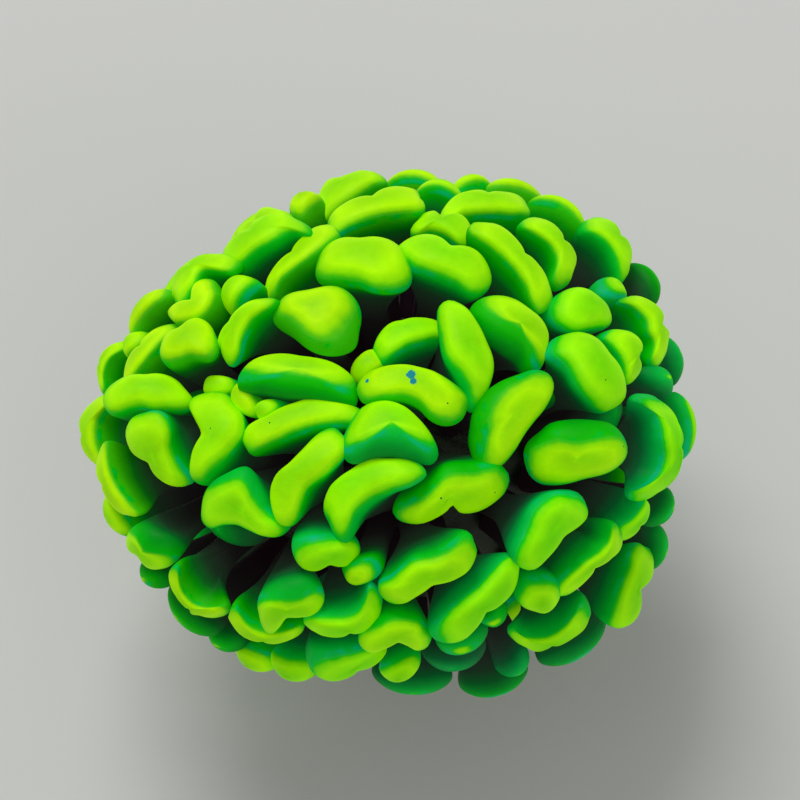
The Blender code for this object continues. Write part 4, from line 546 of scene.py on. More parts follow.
def even_places(curve, count):
    """Points at even distances along a closed curve, found on its length so far."""
    closed = np.concatenate((curve, curve[:1]))
    so_far = np.append(0.0, np.cumsum(np.linalg.norm(np.diff(closed, axis=0), axis=1)))
    wanted = so_far[-1] * np.arange(count) / count
    return np.stack([np.interp(wanted, so_far, closed[:, k]) for k in range(2)], axis=-1)


def widest_ring(form, place, length, sides):
    """The widest ring of a tip: x along, y across and z ahead in its own frame, its middle line as
    places and heights, and the direction in the view that each point of it looks.

    An outline point e in the view lies at e towards the viewer times the tilt's tangent along the
    stalk, as on a tilted plane. Where the tip faces away, its crown hides the ring and makes the
    outline, so there the ring is drawn in to the root of e² less the crown's rise, seen from the
    side, squared. Both are held within limits. Without an outline the ring is an oval of half the
    length and width.
    """
    _, elbow, tip, long_axis = place
    if not form.outline:
        angle = 2 * math.pi * np.arange(sides) / sides
        x = length * MM / 2 * section_power(np.cos(angle), 2 / SECTION_POWER)
        y = form.width * MM / 2 * section_power(np.sin(angle), 2 / SECTION_POWER)
        return x, y, 0 * x, np.array((-1.0, 1.0)), np.array((0.0, 0.0)), angle + math.radians(form.turn)

    fine = outline_curve(form.outline) - (form.right, form.up)
    stalk, tilt = math.radians(form.stalk), math.radians(form.tilt)
    towards_stalk = np.array((math.cos(stalk), math.sin(stalk)))
    rise_seen = CROWN_RISE * form.width * math.sin(tilt)

    def in_tip_frame(seen):
        """Outline points as x, y and z in the tip's own frame."""
        size = np.linalg.norm(seen, axis=1)
        hidden = rise_seen * np.maximum(0.0, -(seen @ towards_stalk)) / size**2
        drawn = seen * np.sqrt(np.maximum(1.0 - hidden**2, LEAST_DRAWN))[:, None]
        nearer = min(math.tan(tilt), STEEPEST_RING) * (drawn @ towards_stalk)
        offset = (drawn[:, :1] * RIGHT + drawn[:, 1:] * UP + nearer[:, None] * TOWARDS) * MM
        face = unit(tip - elbow)
        return offset @ long_axis, offset @ np.cross(face, long_axis), offset @ face

    fine_x, fine_y, _ = in_tip_frame(fine)
    seen = even_places(fine, sides)
    ahead = np.roll(seen, -1, axis=0) - np.roll(seen, 1, axis=0)
    return (*in_tip_frame(seen), *middle_line(fine_x, fine_y), np.arctan2(-ahead[:, 0], ahead[:, 1]))


def tentacle_surface(form, place, length, levels, sides, waves):
    """Points on a grid of levels and places round, with what the pigment needs to know of each.

    The middle of a section is (1-s)² root + 2s(1-s) elbow + s² tip with s = 1 + level. Its frame is
    the tip's long axis, turned with the curve's direction by the shortest way, and their cross
    product. In it x and y go from the neck's oval to the widest ring as smooth steps of the way up.
    A bell curve narrows y at the waist, and sines of the turn make both uneven. Over the crown x
    shrinks, and y shrinks towards the middle line m, with shrink k: m(k x) + k (y - m(x)). z is the
    pillow's rise less the ends' droop times out², where out is x over its largest value.
    """
    root, elbow, tip, long_axis = place
    level = levels[:, None]
    s = 1.0 + np.minimum(level, 0.0)
    centre = (1 - s) ** 2 * root + 2 * s * (1 - s) * elbow + s**2 * tip
    ahead = unit(2 * (1 - s) * (elbow - root) + 2 * s * (tip - elbow))
    start = unit(tip - elbow)
    both = start + ahead
    along = long_axis - both * (ahead @ long_axis)[:, None] / (1.0 + ahead @ start)[:, None]
    across = np.cross(ahead, along)

    ring_x, ring_y, ring_z, places, middles, facing = widest_ring(form, place, length, sides)
    half_long = np.abs(ring_x).max()
    turn = np.arctan2(ring_y / (form.width * MM / 2), ring_x / half_long)
    neck_x = NECK_HALF_LONG * section_power(np.cos(turn), 2 / SECTION_POWER)
    neck_y = NECK_HALF_WIDE * section_power(np.sin(turn), 2 / SECTION_POWER)

    below = np.maximum(-level, 0.0) * np.linalg.norm(tip - root)
    shrink = 1.0 - np.maximum(level, 0.0)
    share, wide_share = fall(below / FLARE_LONG), fall(below / FLARE_WIDE)
    waist = 1.0 - WAIST * np.exp(-(((below - WAIST_DEPTH) / WAIST_HALF) ** 2))
    uneven = 1.0 + UNEVEN * sum(
        np.sin((k + 2) * turn + waves[k, 0] + waves[k, 1] * level) for k in range(len(waves))
    )
    x = (neck_x + (ring_x - neck_x) * share) * uneven
    y = (neck_y + (ring_y - neck_y) * wide_share) * waist * uneven
    y = np.interp(shrink * x, places, middles) * share + shrink * (y - np.interp(x, places, middles) * share)
    x = shrink * x
    out = x / half_long
    z = CROWN_RISE * form.width * MM * np.sqrt(1.0 - shrink**CROWN_POWER) + ring_z * shrink * share
    z = z - form.droop * MM * out**2 * share
    offset = sum(value[..., None] * way[:, None, :] for value, way in ((x, along), (y, across), (z, ahead)))
    points = centre[:, None, :] + offset
    return points, below + 0 * x, 1.0 - shrink + 0 * x, turn + 0 * x, facing + 0 * x


# %% [markdown]
# ## Where the pigment ends
#
# The pigment, given a painted glow, fills the cap of a tip and stops at a fairly sharp line near its
# widest ring. On some sides it draws back up the slope, and on tips deep in the head it draws back all
# round as painted shade, where the tips above would shade them. A number at every point says how many
# millimetres it lies inside that line, or outside it where the number is negative, and the material
# turns that number into colour.

# %% Distance inside the pigment's edge
CAP_SLOPE = 1.5
CAP_POWER = 1.3
EDGE_LEVEL = 0.03
EDGE_WANDER = 0.13
SECOND_WAVE = 0.6
SMOOTHED = range(-4, 5)


def pigment_depth(form, below, crown, turn, facing, waves):
    """Slope length from the widest ring, plus up over the crown and minus down the stalk, less the
    line's own height: a base value, slow waves, and for each bare side its reach times cos² of the
    angle between that side and the way the surface looks, averaged over the points next to it."""
    climbed = CAP_SLOPE * (np.arccos(np.clip(1.0 - crown, 0.0, 1.0)) / (math.pi / 2)) ** CAP_POWER
    waver = np.sin(turn + waves[0, 0]) + SECOND_WAVE * np.sin(2 * turn + waves[1, 0])
    # The base value includes the tip's painted shade, which draws the pigment back all round on deep tips.
    line = EDGE_LEVEL + form.fade + EDGE_WANDER * waver
    for side, reach in form.bare:
        looks_there = np.maximum(0.0, np.cos(facing - math.radians(side))) ** 2
        line = line + reach * sum(np.roll(looks_there, k, axis=-1) for k in SMOOTHED) / len(SMOOTHED)
    return climbed - below / MM - line


# %% [markdown]
# ## From a grid to a mesh
#
# Every grid here is closed round its angle, and its first and last rows shrink to a pole. So the
# faces are the same for all: a fan, bands of quads, and a fan. Whole arrays of corner numbers make
# them, and several grids join into one mesh by shifting the numbers of the later ones.

# %% Meshes with their attributes
class Shape(NamedTuple):
    """Corners of a closed surface, its faces as fans and quads, and numbers at each corner."""

    corners: np.ndarray
    fans: np.ndarray
    quads: np.ndarray
    values: dict


def closed_shape(points, values):
    """A closed surface from rows of points. Corner k of row r is number 1 + r·sides + k, and each
    pole takes the mean of the row next to it."""
    rows, sides, _ = points.shape
    ring = np.arange(sides)
    after = np.roll(ring, -1)
    base = 1 + sides * np.arange(rows - 1)[:, None]
    quads = np.stack((base + ring, base + after, base + after + sides, base + ring + sides), axis=-1)
    last = 1 + sides * (rows - 1)
    foot = np.stack((0 * ring, 1 + after, 1 + ring), axis=-1)
    crown = np.stack((last + ring, last + after, 0 * ring + last + sides), axis=-1)

    def with_poles(grid):
        """A grid's rows one after another, between the means of its first and last row."""
        foot_pole = grid[:1].mean(axis=1).reshape(1, -1)
        crown_pole = grid[-1:].mean(axis=1).reshape(1, -1)
        return np.concatenate((foot_pole, grid.reshape(rows * sides, -1), crown_pole))

    numbers = {name: with_poles(grid)[:, 0] for name, grid in values.items()}
    return Shape(with_poles(points), np.concatenate((foot, crown)), quads.reshape(-1, 4), numbers)


def make_piece(name, shapes, materials, slots):
    """One object from several shapes; slots gives the material number of each shape."""
    starts = np.cumsum([0] + [len(shape.corners) for shape in shapes[:-1]])
    faces, numbers = [], []
    for shape, start, slot in zip(shapes, starts, slots):
        faces += (shape.fans + start).tolist() + (shape.quads + start).tolist()
        numbers.append(np.full(len(shape.fans) + len(shape.quads), slot))
    mesh = bpy.data.meshes.new(name)
    mesh.from_pydata(np.concatenate([shape.corners for shape in shapes]).tolist(), [], faces)
    for key in shapes[0].values:
        layer = mesh.attributes.new(key, "FLOAT", "POINT")
        at_corners = np.concatenate([shape.values[key] for shape in shapes])
        layer.data.foreach_set("value", at_corners.astype(np.float32))
    for material in materials:
        mesh.materials.append(material)
    mesh.polygons.foreach_set("material_index", np.concatenate(numbers).astype(np.int32))
    mesh.shade_smooth()
    piece = bpy.data.objects.new(name, mesh)
    bpy.context.scene.collection.objects.link(piece)
    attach(piece, "root")
    return piece


# %% [markdown]
# ## A mottle that every finish uses
#
# Flesh and stone are never one even tone. One node group gives soft blotches with finer grain in
# them, at a size and strength that each material sets, and its value feeds colour, roughness or
# bump.

# %% Node helpers and the mottle group
COARSE_DETAIL, FINE_DETAIL = 2.0, 3.0
COARSE_SHARE, FINE_SHARE = 0.7, 0.3
FINER = 5.0


def add_node(tree, kind, **settings):
    """A node of a kind, with its properties set."""
    node = tree.nodes.new(kind)
    for key, value in settings.items():
        setattr(node, key, value)
    return node


def link(tree, source, target):
    """Join an output socket to an input socket."""
    tree.links.new(source, target)


def calculate(tree, operation, first, second):
    """A math node; each side is a socket or a plain number."""
    node = add_node(tree, "ShaderNodeMath", operation=operation)
    for socket, value in zip(node.inputs, (first, second)):
        if isinstance(value, (int, float)):
            socket.default_value = value
        else:
            link(tree, value, socket)
    return node.outputs[0]


def clipped(tree, value):
    """A value held between nothing and one."""
    node = add_node(tree, "ShaderNodeClamp")
    link(tree, value, node.inputs["Value"])
    return node.outputs["Result"]


def new_group(name, inputs, output):
    """A node group with inputs, each a name and a kind, and one number put out; with it come the
    node of the inputs and that of the output."""
    tree = bpy.data.node_groups.new(name, "ShaderNodeTree")
    for socket, kind in inputs:
        tree.interface.new_socket(socket, in_out="INPUT", socket_type="NodeSocket" + kind)
    tree.interface.new_socket(output, in_out="OUTPUT", socket_type="NodeSocketFloat")
    return tree, add_node(tree, "NodeGroupInput"), add_node(tree, "NodeGroupOutput")


def mottle_group():
    """Blotches plus grain: a share of a coarse noise and a share of a finer one, spread round 1/2
    by the contrast."""
    inputs = (("Position", "Vector"), ("Cells per metre", "Float"), ("Contrast", "Float"))
    tree, given, result = new_group("mottle", inputs, "Value")
    coarse = add_node(tree, "ShaderNodeTexNoise")
    fine = add_node(tree, "ShaderNodeTexNoise")
    for node, detail in ((coarse, COARSE_DETAIL), (fine, FINE_DETAIL)):
        node.inputs["Detail"].default_value = detail
        link(tree, given.outputs["Position"], node.inputs["Vector"])
    link(tree, given.outputs["Cells per metre"], coarse.inputs["Scale"])
    link(tree, calculate(tree, "MULTIPLY", given.outputs["Cells per metre"], FINER), fine.inputs["Scale"])
    both = calculate(
        tree, "ADD",
        calculate(tree, "MULTIPLY", coarse.outputs["Fac"], COARSE_SHARE),
        calculate(tree, "MULTIPLY", fine.outputs["Fac"], FINE_SHARE),
    )
    spread = calculate(tree, "MULTIPLY", calculate(tree, "SUBTRACT", both, 0.5), given.outputs["Contrast"])
    link(tree, calculate(tree, "ADD", spread, 0.5), result.inputs["Value"])
    return tree


def mottle(tree, group, position, cells_per_metre, contrast):
    """The mottle group placed in a material with that material's own values."""
    node = add_node(tree, "ShaderNodeGroup", node_tree=group)
    node.inputs["Cells per metre"].default_value = cells_per_metre
    node.inputs["Contrast"].default_value = contrast
    link(tree, position, node.inputs["Position"])
    return node.outputs["Value"]


MOTTLE = mottle_group()
print("node group:", MOTTLE.name)

# %% [markdown]
# ## The spot group
#
# One tip carries two small blue-green scars, and a few tips have dark specks no wider than a hair.
# A spot is a place on the surface with a size: the mask is one inside it and fades out over its rim,
# which a little noise makes ragged.

# %% A ragged spot at a place
RAGGED_CELLS = 6500.0
RIM_STEEPNESS = 4.0


def spot_group():
    """Mask of a spot: (1 - distance / size - noise) times the rim's steepness, clipped to 0..1, with
    noise that goes about as far below nothing as above it."""
    inputs = (("Position", "Vector"), ("Place", "Vector"), ("Size", "Float"))
    tree, given, result = new_group("spot", inputs, "Mask")
    away = add_node(tree, "ShaderNodeVectorMath", operation="DISTANCE")
    link(tree, given.outputs["Position"], away.inputs[0])
    link(tree, given.outputs["Place"], away.inputs[1])
    rough = add_node(tree, "ShaderNodeTexNoise")
    rough.inputs["Scale"].default_value = RAGGED_CELLS
    link(tree, given.outputs["Position"], rough.inputs["Vector"])
    share = calculate(tree, "DIVIDE", away.outputs["Value"], given.outputs["Size"])
    ragged = calculate(tree, "ADD", share, calculate(tree, "SUBTRACT", rough.outputs["Fac"], 0.5))
    mask = calculate(tree, "MULTIPLY", calculate(tree, "SUBTRACT", 1.0, ragged), RIM_STEEPNESS)
    link(tree, clipped(tree, mask), result.inputs["Mask"])
    return tree


def spots(tree, group, position, places):
    """The strongest mask of several spots, each a place and a size."""
    strongest = None
    for place, size in places:
        node = add_node(tree, "ShaderNodeGroup", node_tree=group)
        node.inputs["Place"].default_value = place
        node.inputs["Size"].default_value = size
        link(tree, position, node.inputs["Position"])
        mask = node.outputs["Mask"]
        strongest = mask if strongest is None else calculate(tree, "MAXIMUM", strongest, mask)
    return strongest


SPOT = spot_group()
print("node group:", SPOT.name)

# %% [markdown]
# ## Shapes of all tentacles
#
# The large tentacles come first, because the places of the scars and specks are found on them. The
# random numbers have a fixed seed, so the head is the same each time.

# %% Surfaces of the large tentacles
LARGE_GRID = tentacle_levels(24, 16), 56
SMALL_GRID = tentacle_levels(14, 10), 26
GAP = 0.3 * MM
ROOT_SINK = 0.9 * MM
# Painted light: tips towards the upper left of the head, on the key lamp's side, are given a yellower tone.
PAINTED_LIGHT_UP = 1.3
PAINTED_LIGHT_LEFT = 1.1
OWN_TONE = 0.5
chance = np.random.default_rng(7)


def tentacle_shape(form, place, length, grid):
    """The closed shape of a tentacle with its pigment depth and its tone. One share of the tone is
    chance, and the other is painted light: it grows to the upper left of the head, on the key lamp's side,
    where it makes the tips more yellow."""
    waves = chance.uniform(0.0, 2 * math.pi, (3, 2))
    points, below, crown, turn, facing = tentacle_surface(form, place, length, *grid, waves)
    depth = pigment_depth(form, below, crown, turn, facing, waves)
    painted_light = math.tanh((PAINTED_LIGHT_UP * form.up - PAINTED_LIGHT_LEFT * form.right) / HEAD_HALF[0] * MM)
    tone = np.full(depth.shape, OWN_TONE * chance.uniform() + (1.0 - OWN_TONE) * (0.5 + 0.5 * painted_light))
    return closed_shape(points, {"pigment": depth, "tone": tone})


large_shapes = {}
for form in LARGE_TENTACLES:
    place, length = stand_in_view(form, -GAP)
    large_shapes[form.name] = tentacle_shape(form, place, length, LARGE_GRID)
print("corners on one large tentacle:", len(large_shapes["tentacle_01"].corners))

# %% [markdown]
# ## Scars and specks
#
# Each is given as a tentacle, a place in the view and a size. A spot painted on a picture would need
# the tips unfolded flat. It is enough to know where in space a mark is, and the nearest corner of its
# tentacle's crown gives that.

# %% Places of the scars and specks
SCARS = (
    ("tentacle_81", 1.3, 3.15, 0.3), ("tentacle_81", 1.42, 2.95, 0.22), ("tentacle_81", 1.05, 3.3, 0.14),
    ("tentacle_81", -1.15, 2.8, 0.14),
)
SPECKS = (
    ("tentacle_82", -6.6, 0.5, 0.05), ("tentacle_16", -9.85, 0.3, 0.05), ("tentacle_84", -4.4, -3.4, 0.05),
    ("tentacle_86", 3.0, -3.6, 0.07), ("tentacle_86", 6.0, -3.3, 0.05), ("tentacle_81", 3.4, 1.7, 0.06),
    ("tentacle_88", 13.1, -0.7, 0.05), ("tentacle_59", 12.1, 3.0, 0.05), ("tentacle_35", 3.7, -9.1, 0.05),
)
NEARNESS = 0.1


def places_on(shapes, marks):
    """For each mark the corner with the least squared distance in the view, less a small bonus for
    being near the viewer, and the mark's size in metres."""
    found = []
    for name, right, up, size in marks:
        corners = shapes[name].corners - HEAD_CENTRE
        miss = (corners @ RIGHT / MM - right) ** 2 + (corners @ UP / MM - up) ** 2
        nearest = np.argmin(miss - NEARNESS * corners @ TOWARDS / MM)
        found.append((tuple(shapes[name].corners[nearest]), size * MM))
    return found


scar_places = places_on(large_shapes, SCARS)
speck_places = places_on(large_shapes, SPECKS)
print("scars:", len(scar_places), "specks:", len(speck_places))

# %% [markdown]
# ## The flesh and its painted glow
#
# The pigment depth picks the colour from a ramp: near black at the root, grey-green on the stalk,
# dark green, then pure green with a thin blue-green line, and yellow-green on the cap, most yellow
# just inside its rim. The darkening down the stalk to near black is partly the stalk's own dull colour
# and partly painted shade between the crowded tentacles, and the yellow just inside the rim is partly
# a painted rim highlight. The same colour is given off as a painted glow, which stands in for the
# pigments turning blue light to green and keeps shaded sides bright. The surface is wet and soft, so
# it is smooth with only a faint grain.

# %% Flesh of the tentacles
PIGMENT_RANGE = (-7.0, 2.0)
# The lowest stops darken to near black partly as the stalk's own dull colour and partly as painted shade
# between the crowded stalks; the most yellow stop, just inside the rim, is partly a painted rim highlight.
FLESH_AND_PAINTED_LIGHT_RAMP = (
    (-7.0, (0.008, 0.003, 0.005)),
    (-4.4, (0.012, 0.010, 0.010)),
    (-3.2, (0.018, 0.026, 0.018)),
    (-2.3, (0.014, 0.045, 0.020)),
    (-1.5, (0.003, 0.110, 0.018)),
    (-0.9, (0.000, 0.260, 0.014)),
    (-0.45, (0.000, 0.380, 0.010)),
    (-0.08, (0.001, 0.450, 0.010)),
    (0.05, (0.040, 0.510, 0.003)),
    (0.2, (0.210, 0.690, 0.000)),
    (0.5, (0.340, 0.830, 0.000)),
    (1.0, (0.240, 0.710, 0.000)),
    (1.8, (0.165, 0.610, 0.000)),
)
TEAL_LINE = (0.000, 0.420, 0.170, 1.0)
TEAL_MIDDLE = -0.22
TEAL_HALF = 0.24
TEAL_BARE = 0.55
SCAR_COLOUR = (0.007, 0.22, 0.26, 1.0)
SPECK_COLOUR = (0.02, 0.12, 0.02, 1.0)
EDGE_MOTTLE = 260.0, 0.6
TEAL_MOTTLE = 330.0, 8.0
FLESH_BLOTCHES = 420.0, 1.6
FLESH_GRAIN = 2600.0, 1.0
LEAST_BRIGHT, BRIGHT_SPAN = 0.86, 0.3
GREENEST_HUE, HUE_SPAN = 0.520, -0.044
FLESH_ROUGHNESS = 0.42, 0.62
FLESH_BUMP = 0.03 * MM
# A painted glow: the flesh gives off its own colour, standing in for fluorescence under blue light and
# keeping its shaded sides bright.
PAINTED_GLOW = 0.3
WET_SPECULAR = 0.08


def ramp(tree, value, stops, low, high):
    """A colour ramp over a range of values: each stop's place is its share of the range."""
    spread = add_node(tree, "ShaderNodeMapRange")
    spread.inputs["From Min"].default_value = low
    spread.inputs["From Max"].default_value = high
    link(tree, value, spread.inputs["Value"])
    node = add_node(tree, "ShaderNodeValToRGB")
    bands = node.color_ramp
    while len(bands.elements) < len(stops):
        bands.elements.new(1.0)
    for band, (place, colour) in zip(bands.elements, stops):
        band.position = (place - low) / (high - low)
        band.color = (*colour, 1.0)
    link(tree, spread.outputs["Result"], node.inputs["Fac"])
    return node.outputs["Color"]


def mix_colour(tree, mask, first, second):
    """Two colours mixed by a mask; each is a socket or a plain colour."""
    node = add_node(tree, "ShaderNodeMix", data_type="RGBA")
    for socket, value in ((node.inputs[0], mask), (node.inputs[6], first), (node.inputs[7], second)):
        if isinstance(value, (tuple, float)):
            socket.default_value = value
        else:
            link(tree, value, socket)
    return node.outputs[2]


def at_corner(tree, name):
    """A number that the mesh keeps at its corners."""
    return add_node(tree, "ShaderNodeAttribute", attribute_name=name).outputs["Fac"]


def new_material(name, roughness_range, bump_height):
    """A Principled material, with its tree, shader and object coordinates, and two sockets to fill:
    one is spread over the range of roughness, the other is the height of the bumps."""
    material = bpy.data.materials.new(name)
    material.use_nodes = True
    tree = material.node_tree
    shader = tree.nodes["Principled BSDF"]
    position = add_node(tree, "ShaderNodeTexCoord").outputs["Object"]
    spread = add_node(tree, "ShaderNodeMapRange")
    spread.inputs["To Min"].default_value, spread.inputs["To Max"].default_value = roughness_range
    link(tree, spread.outputs["Result"], shader.inputs["Roughness"])
    bump = add_node(tree, "ShaderNodeBump")
    bump.inputs["Distance"].default_value = bump_height
    link(tree, bump.outputs["Normal"], shader.inputs["Normal"])
    return material, tree, shader, position, spread.inputs["Value"], bump.inputs["Height"]


def flesh_material():
    """Ramp of pigment depth plus a little mottle, yellower or greener by the tone: one share is the
    tentacle's own, at random, and the other is painted light that yellows the tips on the upper left of the
    head.
    """
    material, tree, shader, position, roughness, height = new_material(
        "tentacle_flesh", FLESH_ROUGHNESS, FLESH_BUMP
    )
    depth, tone = at_corner(tree, "pigment"), at_corner(tree, "tone")
    wander = calculate(tree, "SUBTRACT", mottle(tree, MOTTLE, position, *EDGE_MOTTLE), 0.5)
    colour = ramp(tree, calculate(tree, "ADD", depth, wander), FLESH_AND_PAINTED_LIGHT_RAMP, *PIGMENT_RANGE)

    off_line = calculate(tree, "ABSOLUTE", calculate(tree, "SUBTRACT", depth, TEAL_MIDDLE), 0.0)
    near_line = calculate(tree, "SUBTRACT", 1.0, calculate(tree, "DIVIDE", off_line, TEAL_HALF))
    patches = calculate(tree, "SUBTRACT", mottle(tree, MOTTLE, position, *TEAL_MOTTLE), TEAL_BARE)
    patches = clipped(tree, patches)
    teal = clipped(tree, calculate(tree, "MULTIPLY", near_line, patches))
    colour = mix_colour(tree, teal, colour, TEAL_LINE)

    blotches = mottle(tree, MOTTLE, position, *FLESH_BLOTCHES)
    shade = add_node(tree, "ShaderNodeHueSaturation")
    for value, span, least, socket in (
        (blotches, BRIGHT_SPAN, LEAST_BRIGHT, "Value"), (tone, HUE_SPAN, GREENEST_HUE, "Hue"),
    ):
        spread = calculate(tree, "ADD", calculate(tree, "MULTIPLY", value, span), least)
        link(tree, spread, shade.inputs[socket])
    link(tree, colour, shade.inputs["Color"])
    colour = mix_colour(tree, spots(tree, SPOT, position, scar_places), shade.outputs["Color"], SCAR_COLOUR)
    colour = mix_colour(tree, spots(tree, SPOT, position, speck_places), colour, SPECK_COLOUR)

    link(tree, colour, shader.inputs["Base Color"])
    link(tree, colour, shader.inputs["Emission Color"])
    link(tree, blotches, roughness)
    link(tree, mottle(tree, MOTTLE, position, *FLESH_GRAIN), height)
    shader.inputs["Emission Strength"].default_value = PAINTED_GLOW
    shader.inputs["Specular IOR Level"].default_value = WET_SPECULAR
    return material


FLESH = flesh_material()
print("material:", FLESH.name, "with", len(FLESH.node_tree.nodes), "nodes")

# %% [markdown]
# ## The large tentacles
#
# Each is a piece of its own and stands for the solid of the same name.

# %% Large tentacles as pieces
for name, shape in large_shapes.items():
    piece = make_piece(name + "_flesh", [shape], [FLESH], [0])
    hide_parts(name)
print("large tentacles:", len(large_shapes))

# %% [markdown]
# ## The column of the polyp
#
# The polyp is a thick fleshy sleeve with a domed top. It hangs over the rim of the stalk and ends in
# a soft hem. Its profile is a smooth curve through a few measured points, carried round an oval, and
# goes on under the hem and up the inner wall, so that it is a real sleeve. Folds run down the
# column, as the partitions inside show through, and wrinkles run round it where it has drawn in.

# %% Profile, folds and wrinkles
SLEEVE_PROFILE = np.array((
    (0.6, 0.5, 11.3), (5.0, 4.5, 11.3), (8.1, 7.3, 11.3), (8.6, 7.8, 10.9), (8.5, 7.7, 9.0), (8.3, 7.5, 7.4),
    (8.3, 7.5, 6.6), (8.6, 7.8, 6.3), (9.1, 8.3, 6.6), (9.5, 8.7, 7.6), (9.9, 8.9, 10.0), (9.7, 8.7, 13.0),
    (9.1, 8.1, 16.0), (7.2, 6.4, 18.3), (4.3, 3.8, 19.8), (1.6, 1.4, 20.35), (0.4, 0.35, 20.4),
)) * MM
SLEEVE_STEPS = 9
SLEEVE_SIDES = 168
HEM_POINT = 7
FOLDS = 28
FOLD_DEPTH = 0.14 * MM
FOLD_POWER = 0.7
FOLD_LEVEL = 0.6
WRINKLE_DEPTH = 0.07 * MM
WRINKLES_PER_MM = 5.2
SMOOTH_FROM, SMOOTH_OVER = 13.0, 5.0
HEM_FROM, HEM_OVER = 6.2, 1.2


def sleeve_shape():
    """Height z, and x and y as the oval's half sizes times cos and sin, each grown by folds, a
    sharpened sine of the angle, and by wrinkles, a sine of the height that the angle sways. Both
    are on the outside only, and fade out at the hem and towards the disc."""
    path = open_curve(SLEEVE_PROFILE, SLEEVE_STEPS)
    half_x, half_y, height = (path[:, k, None] for k in range(3))
    angle = 2 * math.pi * np.arange(SLEEVE_SIDES)[None, :] / SLEEVE_SIDES
    level = height / MM
    outer = np.arange(len(path))[:, None] > HEM_POINT * SLEEVE_STEPS
    body = outer * fall((level - SMOOTH_FROM) / SMOOTH_OVER) * (1.0 - fall((level - HEM_FROM) / HEM_OVER))
    ridges = np.abs(np.sin(angle * FOLDS / 2 + 0.25 * np.sin(level * 1.1))) ** FOLD_POWER - FOLD_LEVEL
    wrinkles = np.sin(level * WRINKLES_PER_MM + 0.8 * np.sin(3 * angle) + 0.5 * np.sin(7 * angle + 1.0))
    swell = body * (FOLD_DEPTH * ridges + WRINKLE_DEPTH * wrinkles)
    x = DISC_CENTRE[0] + (half_x + swell) * np.cos(angle)
    y = DISC_CENTRE[1] + (half_y + swell) * np.sin(angle)
    points = np.stack((x, y, height + 0 * x), axis=-1)
    return closed_shape(points, {"pigment": level + 0 * x, "tone": 0.5 + 0.5 * ridges + 0 * x})


sleeve = sleeve_shape()
print("corners on the sleeve:", len(sleeve.corners))

# %% [markdown]
# The flesh of the sleeve is brown-green and dull: dark where the tentacles shade it, paler along the
# folds and towards the hem, where it is stretched thin over the stone.

# %% Flesh of the sleeve
SLEEVE_RAMP = (
    (6.2, (0.100, 0.120, 0.045)),
    (7.0, (0.060, 0.080, 0.030)),
    (9.5, (0.034, 0.040, 0.020)),
    (13.0, (0.018, 0.018, 0.013)),
    (16.5, (0.009, 0.006, 0.007)),
)
SLEEVE_RANGE = 6.0, 18.0
SLEEVE_BLOTCHES = 500.0, 2.4
SLEEVE_GRAIN = 1800.0, 1.5
SLEEVE_ROUGHNESS = 0.4, 0.7
SLEEVE_BUMP = 0.06 * MM
SLEEVE_SWAY = 2.5
FOLD_COLOUR = (0.16, 0.19, 0.09, 1.0)
FOLD_STRENGTH = 0.35


def sleeve_material():
    """Ramp of height with mottle, lightened along the folds."""
    material, tree, shader, position, roughness, height = new_material(
        "sleeve_flesh", SLEEVE_ROUGHNESS, SLEEVE_BUMP
    )
    level, fold = at_corner(tree, "pigment"), at_corner(tree, "tone")
    blotches = mottle(tree, MOTTLE, position, *SLEEVE_BLOTCHES)
    sway = calculate(tree, "MULTIPLY", calculate(tree, "SUBTRACT", blotches, 0.5), SLEEVE_SWAY)
    colour = ramp(tree, calculate(tree, "ADD", level, sway), SLEEVE_RAMP, *SLEEVE_RANGE)
    paler = mix_colour(tree, calculate(tree, "MULTIPLY", fold, FOLD_STRENGTH), colour, FOLD_COLOUR)
    link(tree, paler, shader.inputs["Base Color"])
    link(tree, blotches, roughness)
    link(tree, mottle(tree, MOTTLE, position, *SLEEVE_GRAIN), height)
    return material


SLEEVE = sleeve_material()
print("material:", SLEEVE.name)

# %% [markdown]
# ## Small tentacles
#
# Small tentacles fill the gaps between the large ones, six of them deep down, where painted shade
# draws back nearly all their pigment so that the gaps look dark. Two rings of them hang round the back
# and below the outline of the view, apart from those that would lie inside the column. All are grown
# to the sleeve, so they are one piece with it.

# %% Small tentacles and the rings behind
SKIRT_RINGS = ((16, 18.0), (11, 36.0))
SKIRT_TIPS = ((5.2, 1.9, 12), (4.4, 2.1, -16), (5.8, 1.7, 4), (4.8, 1.9, -8))
SKIRT_START = 0.3
COLUMN_HALF = np.array((10.6, 9.6, 1.0)) * MM


def stand_in_skirt(angle, dip, turn, width):
    """Behind the outline: a heading that goes round the view's axis and dips below its plane meets
    the flattened ball at heading divided by the length of heading over the ball's half sizes."""
    outward = math.cos(angle) * RIGHT + math.sin(angle) * UP
    heading = math.cos(dip) * outward - math.sin(dip) * TOWARDS
    tip = HEAD_CENTRE + heading / np.linalg.norm(heading / HEAD_HALF)
    face = unit(tip - SPREAD_CENTRE)
    long_axis = math.cos(turn) * np.cross(TOWARDS, outward) + math.sin(turn) * TOWARDS
    return stand(tip - face * CROWN_RISE * width * MM, face, long_axis, ROOT_SINK)


small_shapes = []
for form in SMALL_TENTACLES:
    place, length = stand_in_view(form, ROOT_SINK)
    small_shapes.append(tentacle_shape(form, place, length, SMALL_GRID))
count = 0
for number, dip in SKIRT_RINGS:
    for k in range(number):
        length, width, turn = SKIRT_TIPS[count % len(SKIRT_TIPS)]
        count += 1
        angle = 2 * math.pi * (k + SKIRT_START + dip / 90.0) / number
        place = stand_in_skirt(angle, math.radians(dip), math.radians(turn), width)
        if np.linalg.norm(((place[2] - DISC_CENTRE) / COLUMN_HALF)[:2]) < 1.0:
            continue
        form = Tentacle("ring", 0, 0, turn, length, width)
        small_shapes.append(tentacle_shape(form, place, length, SMALL_GRID))

